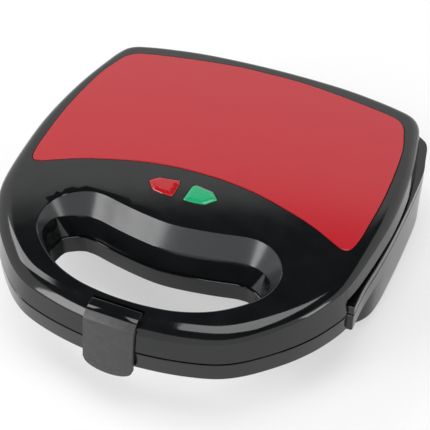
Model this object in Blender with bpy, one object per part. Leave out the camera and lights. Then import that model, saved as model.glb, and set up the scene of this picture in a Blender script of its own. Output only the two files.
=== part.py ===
# Sandwich maker with a hinged lid, a looped handle and a front latch.
# Metres; +X right, +Y back, +Z up; the origin is on the ground under the middle.
import bpy
import bmesh
from math import cos, hypot, pi, radians, sin
from mathutils import Matrix, Vector

for old in list(bpy.data.objects):
    bpy.data.objects.remove(old, do_unlink=True)

# Driving sizes; a depth counts from the back wall towards the front
body_width = 0.229
plate_length = 0.120
top_height = 0.069
foot_height = 0.0062
seam_gap = 0.0008
rear_stand_out = 0.0045
latch_stand_out = 0.0044
half_width = body_width / 2
body_depth = 2 * plate_length
seam_height = top_height * 44 / 69
lid_height = top_height - seam_height
base_height = seam_height - foot_height

# Fits
clearance = 0.0003
overrun = 0.002
wall = 0.0025
cover_sheet = 0.0025
post_root = 0.001

# Lid form
skirt_draft = 0.0023
crease_back_height = seam_height + lid_height * 0.78
crease_front_height = seam_height + lid_height * 0.44
crease_fall_start = body_depth * 0.48125
lid_front_fall = lid_height * 0.336
lid_side_fall = lid_height * 0.04
lid_apex_depth = body_depth * 4 / 15
side_fillet_width = 0.006
front_fillet_width = 0.0105
fillet_start_angle = radians(24)
lid_skirt_bottom = seam_height + lid_height * 0.4
rim_top = seam_height + lid_height * 0.24
upstand_gap = 0.001
upstand_wall = 0.0016
upstand_top = seam_height + lid_height * 0.64
step_depth = body_depth * 0.7042
lid_ceiling = lid_height * 0.128

# Base form
band_bottom = seam_height - lid_height * 0.464
deck_underside = seam_height - lid_height * 0.244
pan_fillet = 0.004
pan_step = 0.0002
pan_lip = 0.0065

# Finger opening
slope_drop_back = lid_height * 0.452
slope_drop_front = lid_height * 0.06
slope_inset_back = 0.0098
slope_inset_front = 0.0006
throat_inset_back = 0.0052
throat_inset_front = 0.0012
base_ledge = 0.001
throat_side_margin = 0.0265
throat_back_margin = 0.0045
throat_strip = 0.030

# Cooking plates
plate_side_margin = 0.0125
plate_half_width = half_width - plate_side_margin
plate_back_depth = 0.015
plate_corner = 0.010
plate_thickness = lid_height * 0.42
flange_thickness = lid_height * 0.12
flange_width = 0.0035
pocket_depth = lid_height * 0.288
pocket_margin = 0.007
pocket_slope = 0.0045
pocket_ridge = 0.006

# Heaters, clamps and heat shields
heater_radius = lid_height * 0.104
heater_inset = 0.024
heater_bend = 0.012
tail_spread = 0.020
tail_inset = 0.009
clamp_length = 0.008
clamp_foot = 0.005
clamp_sheet = 0.0007
shield_overlap = 0.010
shield_sheet = 0.0006
shield_height = 0.0014
shield_corner = 0.014

# Cover plate, lenses and lamps
cover_thickness = 0.001
cover_recess = 0.001
lamp_pair_offset = 0.0045
lamp_pair_depth = body_depth * 0.5696
lamp_pair_gap = 0.0066
lens_width = 0.0183
lens_depth = 0.0135
lens_height = lid_height * 0.176
lens_proud = 0.0007
lens_bevel = 0.0011
holder_bottom = seam_height + lid_height * 0.504
holder_height = lid_height * 0.252
holder_wall = 0.0012
lamp_radius = lid_height * 0.084
lamp_length = 0.0125

# Hinges
hinge_x = 0.050
knuckle_radius = 0.0045
knuckle_length = 0.012
ear_thickness = 0.004
hinge_pin_radius = 0.0014

# Latch; the lengths count back from the front of the handle
latch_width = 0.0294
latch_sheet = 0.0022
latch_leaf_end = 0.0129
latch_leaf_height = seam_height + lid_height * 0.76
latch_bend_start = 0.006
latch_bend_height = seam_height + lid_height * 0.72
latch_face_start = 0.0012
latch_face_height = seam_height + lid_height * 0.568
latch_face_bottom = band_bottom
latch_tab_bottom = seam_height - lid_height * 0.712
latch_tab_step = 0.0002
latch_hook_width = 0.021
latch_hook_reach = 0.0064
latch_hook_gap = 0.0006
latch_hook_sheet = 0.0024
latch_pivot_length = 0.0062
latch_pivot_height = seam_height + lid_height * 0.492
latch_boss_radius = 0.0026
latch_pin_radius = 0.0011
latch_cheek = 0.0036
latch_pocket_length = 0.0151
latch_pocket_floor = seam_height + lid_height * 0.36
latch_skirt_notch = 0.0029
latch_base_notch = 0.0013

# Feet, vents and screws
foot_radius = 0.0085
foot_chamfer = 0.0006
foot_stem_radius = 0.0024
foot_stem_length = 0.0038
foot_side_margin = 0.0365
foot_depths = (body_depth * 0.104, body_depth * 0.546)
vent_count = 7
vent_pitch = 0.010
vent_width = 0.0035
vent_length = 0.034
vent_depth = body_depth * 0.354
screw_radius = 0.0014
screw_head_radius = 0.0024
screw_head_height = 0.0012
long_screw = 0.0105
short_screw = 0.0075
lid_post_radius = 0.0027
base_post_radius = 0.0032
screw_edge = 0.0043
cover_screw_margin = 0.0115
frame_screw_back = (half_width * 0.218, plate_back_depth - screw_edge)
frame_screw_front = (half_width * 0.524, body_depth * 0.6146)
handle_screw = (half_width * 0.7467, body_depth * 0.7375)
cover_screw_back = (half_width - cover_screw_margin, body_depth * 0.25)
cover_screw_front = (half_width - cover_screw_margin, body_depth * 0.4833)

# Electric parts of the base
thermostat_radius = 0.0085
thermostat_height = 2 * heater_radius + clamp_sheet + clearance
thermostat_x = 0.022
thermostat_depth = body_depth * 0.3125
fuse_radius = 0.0021
fuse_length = 0.018
block_width = 0.026
block_length = 0.016
block_height = base_height * 0.3175
block_depth = 0.038
block_hole_radius = 0.0016
block_hole_depth = 0.004
lead_radius = 0.0011
lead_spread = 0.0075
lead_turn = 0.0045
lead_bend = 0.002
lid_lead_turn = 0.003
lid_lead_margin = 0.0155
gland_height = foot_height + base_height * 0.405
gland_radius = 0.0062
gland_bore = 0.0033
gland_proud = 0.004
gland_neck = 0.0055
gland_collar = 0.0016
gland_collar_radius = 0.008
gland_length = 0.009

# Half outlines from the back middle to the front middle: shares of half the width, and of the
# depth from the back wall
lid_shares = (
    (0.000, 0.0065), (0.378, 0.0138), (0.613, 0.0301), (0.766, 0.0473), (0.847, 0.0624),
    (0.892, 0.0903), (0.923, 0.1462), (0.967, 0.2753), (0.985, 0.4129), (0.974, 0.5290),
    (0.933, 0.6839), (0.865, 0.7669), (0.781, 0.8284), (0.688, 0.8778), (0.590, 0.9200),
    (0.485, 0.9497), (0.324, 0.9720), (0.162, 0.9842), (0.000, 0.9892))
body_shares = (
    (0.000, 0.0000), (0.541, 0.0129), (0.811, 0.0366), (0.910, 0.0602), (0.950, 0.0860),
    (0.973, 0.1376), (0.993, 0.1892), (0.999, 0.2667), (1.000, 0.3527), (0.996, 0.4602),
    (0.986, 0.5462), (0.971, 0.6323), (0.970, 0.7100))
pan_shares = body_shares[:10] + (
    (0.989, 0.5161), (0.972, 0.5574), (0.923, 0.5923), (0.850, 0.6155), (0.764, 0.6237),
    (0.631, 0.6237), (0.405, 0.6237), (0.000, 0.6237))
opening_shares = (
    (0.000, 0.6796), (0.135, 0.6735), (0.270, 0.6624), (0.392, 0.6503), (0.477, 0.6538),
    (0.559, 0.6774), (0.613, 0.7140), (0.625, 0.7527), (0.604, 0.7957), (0.532, 0.8387),
    (0.414, 0.8817), (0.270, 0.9097), (0.126, 0.9217), (0.000, 0.9247))
cover_shares = (
    (0.000, 0.0516), (0.180, 0.0529), (0.383, 0.0645), (0.586, 0.0817), (0.712, 0.0946),
    (0.775, 0.1040), (0.822, 0.1260), (0.847, 0.1600), (0.878, 0.2215), (0.895, 0.3097),
    (0.901, 0.4170), (0.890, 0.5247), (0.883, 0.5634), (0.868, 0.5960), (0.838, 0.6060),
    (0.793, 0.5978), (0.650, 0.5630), (0.505, 0.5376), (0.315, 0.5118), (0.135, 0.4989),
    (0.000, 0.4968))
# A lens outline in shares of its width and depth, measured from its middle
lens_shares = (
    (0.50, -0.50), (0.48, 0.34), (0.42, 0.50), (-0.26, 0.36), (-0.50, 0.03), (-0.22, -0.42), (0.12, -0.49))
dome_shares = (1.0, 0.8, 0.6, 0.4, 0.2)
opening_back_share = 0.6503
opening_middle_share = 0.8

back_y = (body_depth + latch_stand_out - rear_stand_out) / 2
front_y = back_y - body_depth
step_y = back_y - step_depth
base_top = seam_height - seam_gap / 2
lid_bottom = seam_height + seam_gap / 2


# Materials

def make_material(name, colour, roughness, metallic=0.0):
    material = bpy.data.materials.new(name)
    material.use_nodes = True
    shader = material.node_tree.nodes["Principled BSDF"]
    shader.inputs["Base Color"].default_value = (*colour, 1.0)
    shader.inputs["Roughness"].default_value = roughness
    shader.inputs["Metallic"].default_value = metallic
    return material


gloss_black = make_material("gloss_black_plastic", (0.006, 0.007, 0.008), 0.12)
satin_grey = make_material("satin_grey_plastic", (0.035, 0.035, 0.036), 0.42)
matt_black = make_material("matt_black_plastic", (0.012, 0.012, 0.013), 0.6)
red_enamel = make_material("red_enamel", (0.50, 0.014, 0.018), 0.22, 0.1)
red_jewel = make_material("red_lens", (0.40, 0.01, 0.015), 0.08)
green_jewel = make_material("green_lens", (0.01, 0.36, 0.14), 0.08)
nonstick = make_material("non_stick_coating", (0.022, 0.022, 0.023), 0.5)
steel = make_material("steel", (0.55, 0.55, 0.56), 0.3, 1.0)
aluminium = make_material("aluminium_sheet", (0.72, 0.72, 0.73), 0.35, 1.0)
heater_steel = make_material("heater_sheath", (0.20, 0.19, 0.18), 0.5, 1.0)
ceramic = make_material("white_ceramic", (0.82, 0.80, 0.76), 0.5)
lamp_glass = make_material("lamp_glass", (0.85, 0.60, 0.45), 0.1)
foot_rubber = make_material("foot_rubber", (0.02, 0.02, 0.02), 0.8)
brown_wire = make_material("brown_wire", (0.12, 0.045, 0.02), 0.5)
blue_wire = make_material("blue_wire", (0.02, 0.06, 0.25), 0.5)


# Mesh helpers

def finish_object(name, bm, material=None):
    # bent quads become triangles, because Booleans need flat faces
    bmesh.ops.triangulate(bm, faces=[face for face in bm.faces if len(face.verts) == 4])
    bmesh.ops.recalc_face_normals(bm, faces=bm.faces)
    mesh = bpy.data.meshes.new(name)
    bm.to_mesh(mesh)
    bm.free()
    mesh.shade_smooth()
    mesh.set_sharp_from_angle(angle=radians(32))
    obj = bpy.data.objects.new(name, mesh)
    bpy.context.collection.objects.link(obj)
    if material is None:
        obj.hide_render = True
        obj.display_type = "WIRE"
    else:
        mesh.materials.append(material)
    return obj


def boolean(target, other, operation="DIFFERENCE"):
    # the exact solver leaves cracks where the many small cuts of the three big pieces meet
    modifier = target.modifiers.new(operation.title() + " " + other.name, "BOOLEAN")
    modifier.operation = operation
    modifier.solver = "MANIFOLD" if target.name in ("base_shell", "lid_shell", "lid_frame") else "EXACT"
    modifier.object = other


def loft(name, rings, material=None, bottom_pole=None, top_pole=None):
    # a closed skin over rings of equally many points, capped flat or with a pole
    bm = bmesh.new()
    levels = [[bm.verts.new(point) for point in ring] for ring in rings]
    for low, high in zip(levels, levels[1:]):
        for i in range(len(low)):
            j = (i + 1) % len(low)
            bm.faces.new((low[i], low[j], high[j], high[i]))
    for level, pole in ((levels[0], bottom_pole), (levels[-1], top_pole)):
        if pole is None:
            bm.faces.new(level)
        else:
            centre = bm.verts.new(pole)
            for i in range(len(level)):
                bm.faces.new((level[i - 1], level[i], centre))
    return finish_object(name, bm, material)


def box(name, low, high, material=None):
    bm = bmesh.new()
    bmesh.ops.create_cube(bm, size=1.0)
    low, high = Vector(low), Vector(high)
    place = Matrix.Translation((low + high) / 2) @ Matrix.Diagonal((*(high - low), 1.0))
    bmesh.ops.transform(bm, matrix=place, verts=bm.verts)
    return finish_object(name, bm, material)


def turned(name, profile, centre, axis="Z", material=None, sides=24, closed=False):
    # profile: (radius, height) points along the axis; a closed profile makes a hollow ring
    bm = bmesh.new()
    rings = []
    for radius, height in profile:
        angles = [2 * pi * i / sides for i in range(sides)] if radius > 0 else [0.0]
        rings.append([bm.verts.new((radius * cos(a), radius * sin(a), height)) for a in angles])
    if closed:
        rings.append(rings[0])
    for low, high in zip(rings, rings[1:]):
        for i in range(sides):
            j = (i + 1) % sides
            corners = (low[i % len(low)], low[j % len(low)], high[j % len(high)], high[i % len(high)])
            bm.faces.new(list(dict.fromkeys(corners)))
    turns = {"X": Matrix.Rotation(pi / 2, 4, "Y"), "Y": Matrix.Rotation(-pi / 2, 4, "X"), "Z": Matrix.Identity(4)}
    bmesh.ops.transform(bm, matrix=Matrix.Translation(centre) @ turns[axis], verts=bm.verts)
    return finish_object(name, bm, material)


def rod(name, radius, length, centre, axis="Z", material=None, sides=24):
    half = length / 2
    return turned(name, [(0, -half), (radius, -half), (radius, half), (0, half)], centre, axis, material, sides)


def extruded(name, profile, low, high, material=None):
    # a closed (y, z) outline pushed along X
    return loft(name, [[Vector((x, y, z)) for y, z in profile] for x in (low, high)], material)


def tube(name, path, radius, material, sides=8):
    side = Vector((0, 0, 1))
    rings = []
    for i, point in enumerate(path):
        along = (path[min(i + 1, len(path) - 1)] - path[max(i - 1, 0)]).normalized()
        if abs(along.dot(side)) > 0.9:
            side = Vector((1, 0, 0))
        side = (side - along * along.dot(side)).normalized()
        across = along.cross(side)
        angles = [2 * pi * k / sides for k in range(sides)]
        rings.append([point + (side * cos(a) + across * sin(a)) * radius for a in angles])
    return loft(name, rings, material)


def rounded_path(corners, radius, steps=4):
    corners = [Vector(corner) for corner in corners]
    path = [corners[0]]
    for before, corner, after in zip(corners, corners[1:], corners[2:]):
        start = corner + (before - corner).normalized() * radius
        end = corner + (after - corner).normalized() * radius
        for step in range(steps + 1):
            t = step / steps
            path.append(start * (1 - t) ** 2 + corner * (2 * t * (1 - t)) + end * t ** 2)
    return path + [corners[-1]]


# Outline helpers; every outline turns anticlockwise seen from above

def half_curve(shares, steps):
    # a smooth curve through the half outline, level where it meets the middle
    knots = [Vector((half_width * x, back_y - body_depth * y)) for x, y in shares]
    first = Vector((-knots[1].x, knots[1].y))
    last = Vector((-knots[-2].x, knots[-2].y)) if knots[-1].x == 0 else 2 * knots[-1] - knots[-2]
    guides = [first, *knots, last]
    curve = []
    for before, start, end, after in zip(guides, guides[1:], guides[2:], guides[3:]):
        for step in range(steps):
            t = step / steps
            bend = (2 * before - 5 * start + 4 * end - after) * t ** 2
            twist = (3 * start - before - 3 * end + after) * t ** 3
            curve.append((2 * start + (end - before) * t + bend + twist) / 2)
    return curve + [knots[-1]]


def mirrored(half):
    return list(reversed(half)) + [Vector((-p.x, p.y)) for p in half if p.x > 0]


def split_at(curve, y):
    # the parts of a curve behind and in front of y
    for i in range(len(curve) - 1):
        if curve[i].y > y > curve[i + 1].y:
            share = (curve[i].y - y) / (curve[i].y - curve[i + 1].y)
            crossing = curve[i].lerp(curve[i + 1], share)
            return curve[:i + 1] + [crossing], [crossing] + curve[i + 1:]


def outward_normals(outline):
    # mitred: moving every point along its own keeps the edges parallel
    normals = []
    for i, point in enumerate(outline):
        arriving = (point - outline[i - 1]).normalized()
        leaving = (outline[(i + 1) % len(outline)] - point).normalized()
        both = Vector((arriving.y + leaving.y, -arriving.x - leaving.x))
        normals.append(both / (1 + arriving.dot(leaving)))
    return normals


def offset_outline(outline, distance):
    # distance is a length or a function of the point; positive grows the outline
    grown = []
    for point, normal in zip(outline, outward_normals(outline)):
        grown.append(point + normal * (distance(point) if callable(distance) else distance))
    return grown


def at_height(outline, height):
    return [Vector((p.x, p.y, height(p) if callable(height) else height)) for p in outline]


def prism(name, outline, low, high, material=None):
    return loft(name, [at_height(outline, low), at_height(outline, high)], material)


def rounded_rectangle(half_x, low_y, high_y, corner, steps=4):
    quarters = ((half_x - corner, high_y - corner), (corner - half_x, high_y - corner),
                (corner - half_x, low_y + corner), (half_x - corner, low_y + corner))
    points = []
    for quarter, (x, y) in enumerate(quarters):
        for step in range(steps + 1):
            angle = (quarter + step / steps) * pi / 2
            points.append(Vector((x + corner * cos(angle), y + corner * sin(angle))))
    return points


def blend(start, end, share):
    return start + (end - start) * share


# Lid surfaces

def lid_top(point, below=0.0):
    ahead = (back_y - lid_apex_depth - point.y) / (body_depth - lid_apex_depth)
    beside = point.x / half_width
    return top_height - lid_front_fall * ahead ** 2 - lid_side_fall * beside ** 2 - below


def front_share(point):
    # 0 beside the body, 1 at the front of the handle
    start = back_y - crease_fall_start
    return min(max((start - point.y) / (start - front_y), 0.0), 1.0)


def crease_height(point):
    return blend(crease_back_height, crease_front_height, front_share(point) ** 2)


def fillet_width(point):
    return blend(side_fillet_width, front_fillet_width, front_share(point))


def fillet_rings(outline, steps):
    # from the crease to the top; it starts at a slope, which keeps the crease crisp
    rings = []
    for step in range(steps + 1):
        angle = blend(fillet_start_angle, pi / 2, step / steps)
        across = (cos(fillet_start_angle) - cos(angle)) / cos(fillet_start_angle)
        rise = (sin(angle) - sin(fillet_start_angle)) / (1 - sin(fillet_start_angle))
        ring = offset_outline(outline, lambda p: -fillet_width(p) * across)
        heights = [blend(crease_height(p), lid_top(q), rise) for p, q in zip(outline, ring)]
        rings.append([Vector((q.x, q.y, z)) for q, z in zip(ring, heights)])
    return rings


def dome_rings(outline, centre, below, shares):
    # shrinking copies of an outline at a fixed distance under the lid's top
    return [at_height([centre.lerp(p, share) for p in outline], lambda p: lid_top(p, below)) for share in shares]


def top_point(centre, below):
    return Vector((centre.x, centre.y, lid_top(centre, below)))


def domed_sheet(name, outline, centre, low, high, material=None):
    # a sheet between two surfaces that lie low and high under the lid's top
    rings = dome_rings(outline, centre, low, dome_shares[::-1]) + dome_rings(outline, centre, high, dome_shares)
    return loft(name, rings, material, top_point(centre, low), top_point(centre, high))


def opening_rings(grow, extra):
    # throat, lower edge of the slope, and rim; extra runs the cutter past the lid on both sides
    throat, slope, rim = [], [], []
    for point, normal in zip(opening_outline, outward_normals(opening_outline)):
        back_share = (1 + normal.y) / 2
        inset = blend(slope_inset_front, slope_inset_back, back_share)
        drop = blend(slope_drop_front, slope_drop_back, back_share)
        throat_inset = inset + blend(throat_inset_front, throat_inset_back, back_share)
        surface = lid_top(point)
        rim_point = point + normal * (grow + extra * inset / drop)
        slope_point = point + normal * (grow - inset)
        throat_point = point + normal * (grow - throat_inset)
        rim.append(Vector((*rim_point, surface + extra)))
        slope.append(Vector((*slope_point, surface - drop)))
        throat.append(Vector((*throat_point, lid_bottom - extra)))
    return [throat, slope, rim]


def throat_outline(grow):
    return [p.to_2d() for p in opening_rings(grow, 0.0)[0]]


lid_half = half_curve(lid_shares, 2)
lid_outline = mirrored(lid_half)
seam_outline = offset_outline(lid_outline, skirt_draft)
body_half = split_at(half_curve(body_shares, 2), step_y)[0]
handle_half = split_at(seam_outline[len(lid_half) - 1::-1], step_y)[1]
body_outline = mirrored(body_half)
band_outline = mirrored(body_half + handle_half)
pan_outline = mirrored(half_curve(pan_shares, 2))
opening_outline = mirrored(half_curve(opening_shares, 2))
cover_outline = mirrored(half_curve(cover_shares, 1))
lid_centre = Vector((0, back_y - lid_apex_depth))
cover_centre = Vector((0, back_y - body_depth * cover_shares[-1][1] / 2))

opening_cutter = loft("opening_cutter", opening_rings(0.0, overrun))
opening_plug = loft("opening_plug", opening_rings(wall, 2 * overrun))
opening_plug_room = loft("opening_plug_room", opening_rings(wall + clearance, 2 * overrun))
base_opening = prism("base_opening", throat_outline(-base_ledge), 0.0, top_height)
base_opening_plug = prism("base_opening_plug", throat_outline(wall - base_ledge), -overrun, top_height)
base_plug_room = prism("base_plug_room", throat_outline(wall + clearance - base_ledge), -overrun, top_height)


# Screws

def add_screw(name, place, side, face, length, holders, material=steel):
    # a pan-head screw pointing up from a sunk hole in a downward face, through the first holder
    centre = Vector((side * place[0], back_y - place[1], face))
    sink = screw_head_height + 2 * clearance
    hole = turned(name + "_hole",
                  [(0, -overrun), (screw_head_radius + clearance, -overrun), (screw_head_radius + clearance, sink),
                   (screw_radius + clearance, sink), (screw_radius + clearance, length + 2 * clearance),
                   (0, length + 2 * clearance)], centre, sides=12)
    for holder in holders:
        boolean(holder, hole)
    turned(name, [(0, clearance), (screw_head_radius, clearance), (screw_head_radius, clearance + screw_head_height),
                  (screw_radius, clearance + screw_head_height), (screw_radius, clearance + length),
                  (0, clearance + length)], centre, material=material, sides=12)


def add_post(target, name, place, side, radius, low, high):
    x, y = side * place[0], back_y - place[1]
    post = rod(name, radius, high - low, (x, y, (low + high) / 2), sides=12)
    boolean(target, post, "UNION")


# Lid

def make_lid_shell():
    crown = fillet_rings(lid_outline, 4)
    top_edge = [p.to_2d() for p in crown[-1]]
    rings = [at_height(seam_outline, lid_bottom)] + crown + dome_rings(top_edge, lid_centre, 0.0, dome_shares[1:])
    shell = loft("lid_shell", rings, gloss_black, top_pole=top_point(lid_centre, 0.0))
    boolean(shell, make_skirt_cutter())
    boolean(shell, make_lid_cavity())
    boolean(shell, opening_cutter)
    for side in (-1, 1):
        for word, place in (("back", frame_screw_back), ("front", frame_screw_front), ("handle", handle_screw)):
            high = lid_top(Vector((place[0], back_y - place[1])), lid_ceiling - post_root)
            low = lid_bottom + cover_sheet + clearance if place is handle_screw else rim_top + clearance
            add_post(shell, f"lid_{word}_post_{side}", place, side, lid_post_radius, low, high)
    bed_outline = offset_outline(cover_outline, clearance)
    boolean(shell, domed_sheet("cover_bed", bed_outline, cover_centre, cover_recess, -overrun))
    for word, side in (("red", -1), ("green", 1)):
        hole_outline = offset_outline(lens_outline(side), clearance)
        boolean(shell, prism(f"{word}_lens_hole", hole_outline, upstand_top, top_height + overrun))
    cut_latch_room(shell)
    return shell


def make_lid_cavity():
    inner = offset_outline(lid_outline, -wall)
    edge = offset_outline(lid_outline, lambda p: -fillet_width(p) - wall / 2)
    rings = [at_height(inner, lid_bottom - overrun), at_height(inner, lambda p: crease_height(p) - wall / 2)]
    rings += dome_rings(edge, lid_centre, lid_ceiling, dome_shares)
    cavity = loft("lid_cavity", rings, top_pole=top_point(lid_centre, lid_ceiling))
    boolean(cavity, opening_plug)
    boolean(cavity, box("handle_bulkhead", (-half_width, step_y - wall, 0),
                        (half_width, step_y - clearance, top_height)))
    block = latch_width / 2 + clearance + latch_cheek
    boolean(cavity, box("latch_block", (-block, front_y - overrun, lid_bottom + cover_sheet + clearance),
                        (block, front_y + latch_pocket_length + wall, top_height)))
    return cavity


def make_skirt_cutter():
    # takes the skirt away beside the body but leaves the back wall of the opening
    wide = half_width + overrun
    far = back_y + overrun
    reach = half_width - throat_side_margin
    inner = back_y - body_depth * opening_back_share + throat_back_margin
    outline = [Vector(corner) for corner in (
        (wide, step_y), (wide, far), (-wide, far), (-wide, step_y),
        (-reach, step_y), (-reach, inner), (reach, inner), (reach, step_y))]
    return prism("skirt_cutter", outline, -overrun, lid_skirt_bottom)


def make_lid_frame():
    frame = prism("lid_frame", body_outline, lid_bottom, rim_top, gloss_black)
    outer = offset_outline(lid_outline, -wall - upstand_gap)
    core = offset_outline(lid_outline, -wall - upstand_gap - upstand_wall)
    upstand = prism("frame_upstand", outer, lid_bottom + overrun, upstand_top)
    boolean(upstand, prism("frame_upstand_core", core, rim_top, top_height))
    boolean(frame, upstand, "UNION")
    wide = half_width + overrun
    boolean(frame, box("frame_front_cutter", (-wide, front_y - overrun, 0), (wide, step_y + clearance, top_height)))
    boolean(frame, opening_plug_room)
    cut_plate_bed(frame, "upper", lid_bottom, -1)
    add_hinge(frame, "lid", knuckle_places, ear_places)
    return frame


def make_lid_handle_cover():
    outline = offset_outline(lid_outline, -wall - clearance)
    cover = prism("lid_handle_cover", outline, lid_bottom, lid_bottom + cover_sheet, matt_black)
    boolean(cover, opening_plug_room)
    boolean(cover, box("lid_cover_cutter", (-half_width, step_y - wall - clearance, 0),
                       (half_width, back_y + overrun, top_height)))
    boolean(cover, box("lid_cover_strip_cutter", (-throat_strip, back_y - body_depth * opening_middle_share, 0),
                       (throat_strip, back_y, top_height)))
    return cover


def make_cover_plate():
    low = cover_recess - clearance
    domed_sheet("cover_plate", cover_outline, cover_centre, low, low - cover_thickness, red_enamel)


# Lamps

def lens_outline(side):
    # the left lens has its straight edge on the right, the right lens is its mirror image
    middle = Vector((-lamp_pair_offset + side * (lamp_pair_gap + lens_width) / 2, back_y - lamp_pair_depth))
    outline = [middle + Vector((-side * lens_width * u, lens_depth * v)) for u, v in lens_shares]
    return outline if side < 0 else outline[::-1]


def make_lens(name, side, material):
    outline = lens_outline(side)
    top = offset_outline(outline, -lens_bevel)
    proud = [at_height(outline, lambda p: lid_top(p, lens_bevel / 2 - lens_proud)),
             at_height(top, lambda p: lid_top(p, -lens_proud))]
    loft(name, [at_height(outline, lambda p: lid_top(p, lens_height - lens_proud)), *proud], material)


def make_lamp_holder():
    y = back_y - lamp_pair_depth
    reach_x = lamp_pair_gap / 2 + lens_width + holder_wall
    reach_y = lens_depth / 2 + holder_wall
    top = holder_bottom + holder_height
    holder = box("lamp_holder", (-lamp_pair_offset - reach_x, y - reach_y, holder_bottom),
                 (-lamp_pair_offset + reach_x, y + reach_y, top), satin_grey)
    for word, side in (("red", -1), ("green", 1)):
        middle = -lamp_pair_offset + side * (lamp_pair_gap + lens_width) / 2
        floor = holder_bottom + holder_wall
        boolean(holder, box(f"{word}_lamp_well", (middle - lens_width / 2, y - lens_depth / 2, floor),
                            (middle + lens_width / 2, y + lens_depth / 2, top + overrun)))
        rod(f"{word}_neon_lamp", lamp_radius, lamp_length, (middle, y, floor + clearance + lamp_radius), "X",
            lamp_glass, 16)


# Cooking plates and heating

plate_high_y = back_y - plate_back_depth
plate_low_y = plate_high_y - plate_length
tail_end_y = plate_high_y - tail_inset
clamp_reach = 2 * clearance + 2 * heater_radius + clamp_sheet


def plate_outline(shrink=0.0):
    return rounded_rectangle(plate_half_width - shrink, plate_low_y + shrink, plate_high_y - shrink, plate_corner)


def cut_plate_bed(target, word, face, up):
    # up is 1 for the lower plate and -1 for the upper one
    ledge = face - up * (flange_thickness + clearance)
    past = face + up * overrun
    bed = offset_outline(plate_outline(), clearance)
    window = offset_outline(plate_outline(flange_width), clearance)
    boolean(target, prism(f"{word}_plate_bed", bed, ledge, past))
    boolean(target, prism(f"{word}_plate_window", window, face - up * (plate_thickness + clearance), past))


def pocket_cutter(name, side, at_back, face, up):
    # one triangular pocket with sloping walls
    inner, outer = pocket_ridge / 2, plate_half_width - pocket_margin
    low, high = plate_low_y + pocket_margin, plate_high_y - pocket_margin
    ridge = pocket_ridge / 2 * hypot(outer - inner, high - low)
    ridge_x, ridge_y = ridge / (high - low), ridge / (outer - inner)
    if at_back:
        corners = [(inner, high), (inner, low + ridge_y), (outer - ridge_x, high)]
    else:
        corners = [(outer, low), (outer, high - ridge_y), (inner + ridge_x, low)]
    triangle = [Vector((side * x, y)) for x, y in corners]
    lengths = [(triangle[i - 2] - triangle[i - 1]).length for i in range(3)]
    centre = sum((p * length for p, length in zip(triangle, lengths)), Vector((0, 0))) / sum(lengths)
    area = abs((triangle[1] - triangle[0]).cross(triangle[2] - triangle[0])) / 2
    lean = pocket_slope * sum(lengths) / (2 * area)
    mouth = [centre.lerp(p, 1 + lean * overrun / pocket_depth) for p in triangle]
    floor = [centre.lerp(p, 1 - lean) for p in triangle]
    return loft(name, [at_height(floor, face - up * pocket_depth), at_height(mouth, face + up * overrun)])


def make_cooking_plate(word, face, up):
    back = face - up * plate_thickness
    ledge = face - up * flange_thickness
    narrow = plate_outline(flange_width)
    plate = loft(f"{word}_cooking_plate", [at_height(narrow, back), at_height(narrow, ledge),
                                          at_height(plate_outline(), ledge), at_height(plate_outline(), face)],
                 nonstick)
    for side in (-1, 1):
        for at_back in (True, False):
            name = f"{word}_pocket_{side}_{'back' if at_back else 'front'}"
            boolean(plate, pocket_cutter(name, side, at_back, face, up))


def make_heater(word, height):
    # a bent rod; its two tails point to the back
    x, low, high = plate_half_width - heater_inset, plate_low_y + heater_inset, plate_high_y - heater_inset
    right = [(tail_spread, tail_end_y, height), (tail_spread, high, height), (x, high, height), (x, low, height)]
    left = [(-px, py, pz) for px, py, pz in reversed(right)]
    tube(f"{word}_heating_element", rounded_path(right + left, heater_bend), heater_radius, heater_steel, 10)


def make_clamp(name, x, plate_back, up):
    # a bent strap that holds the heater's side run against the plate
    inner = heater_radius + clearance
    outer = inner + clamp_sheet
    foot = outer + clamp_foot
    arch = 2 * heater_radius + clearance
    section = [(-foot, 0), (-foot, clamp_sheet), (-outer, clamp_sheet), (-outer, arch + clamp_sheet),
               (outer, arch + clamp_sheet), (outer, clamp_sheet), (foot, clamp_sheet), (foot, 0),
               (inner, 0), (inner, arch), (-inner, arch), (-inner, 0)]
    middle = (plate_low_y + plate_high_y) / 2
    base = plate_back - up * clearance
    ends = [middle - clamp_length / 2, middle + clamp_length / 2]
    loft(name, [[Vector((x + sx, y, base - up * sz)) for sx, sz in section] for y in ends], steel)


def make_heat_shield(name, plate_back, up):
    # a shallow sheet tray behind the heater, its lip turned away from the plate
    reach = heater_inset - shield_overlap
    face = plate_back - up * (clamp_reach + clearance)
    outer = rounded_rectangle(plate_half_width - reach, plate_low_y + reach, plate_high_y - reach, shield_corner)
    inner = offset_outline(outer, -shield_sheet)
    lip = face - up * shield_height
    loft(name, [at_height(outer, face), at_height(outer, lip), at_height(inner, lip),
                at_height(inner, face - up * shield_sheet)], aluminium)


def make_heating(word, face, up):
    plate_back = face - up * plate_thickness
    make_cooking_plate(word, face, up)
    make_heater(word, plate_back - up * (clearance + heater_radius))
    for name, side in (("left", -1), ("right", 1)):
        make_clamp(f"{word}_heater_clamp_{name}", side * (plate_half_width - heater_inset), plate_back, up)
    make_heat_shield(f"{word}_heat_shield", plate_back, up)


# Hinge

hinge_span = knuckle_length + 2 * clearance + 2 * ear_thickness
ear_offset = knuckle_length / 2 + clearance + ear_thickness / 2
knuckle_places = ((0.0, knuckle_length),)
ear_places = ((-ear_offset, ear_thickness), (ear_offset, ear_thickness))


def hinge_point(side):
    return Vector((side * hinge_x, back_y, seam_height))


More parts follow.
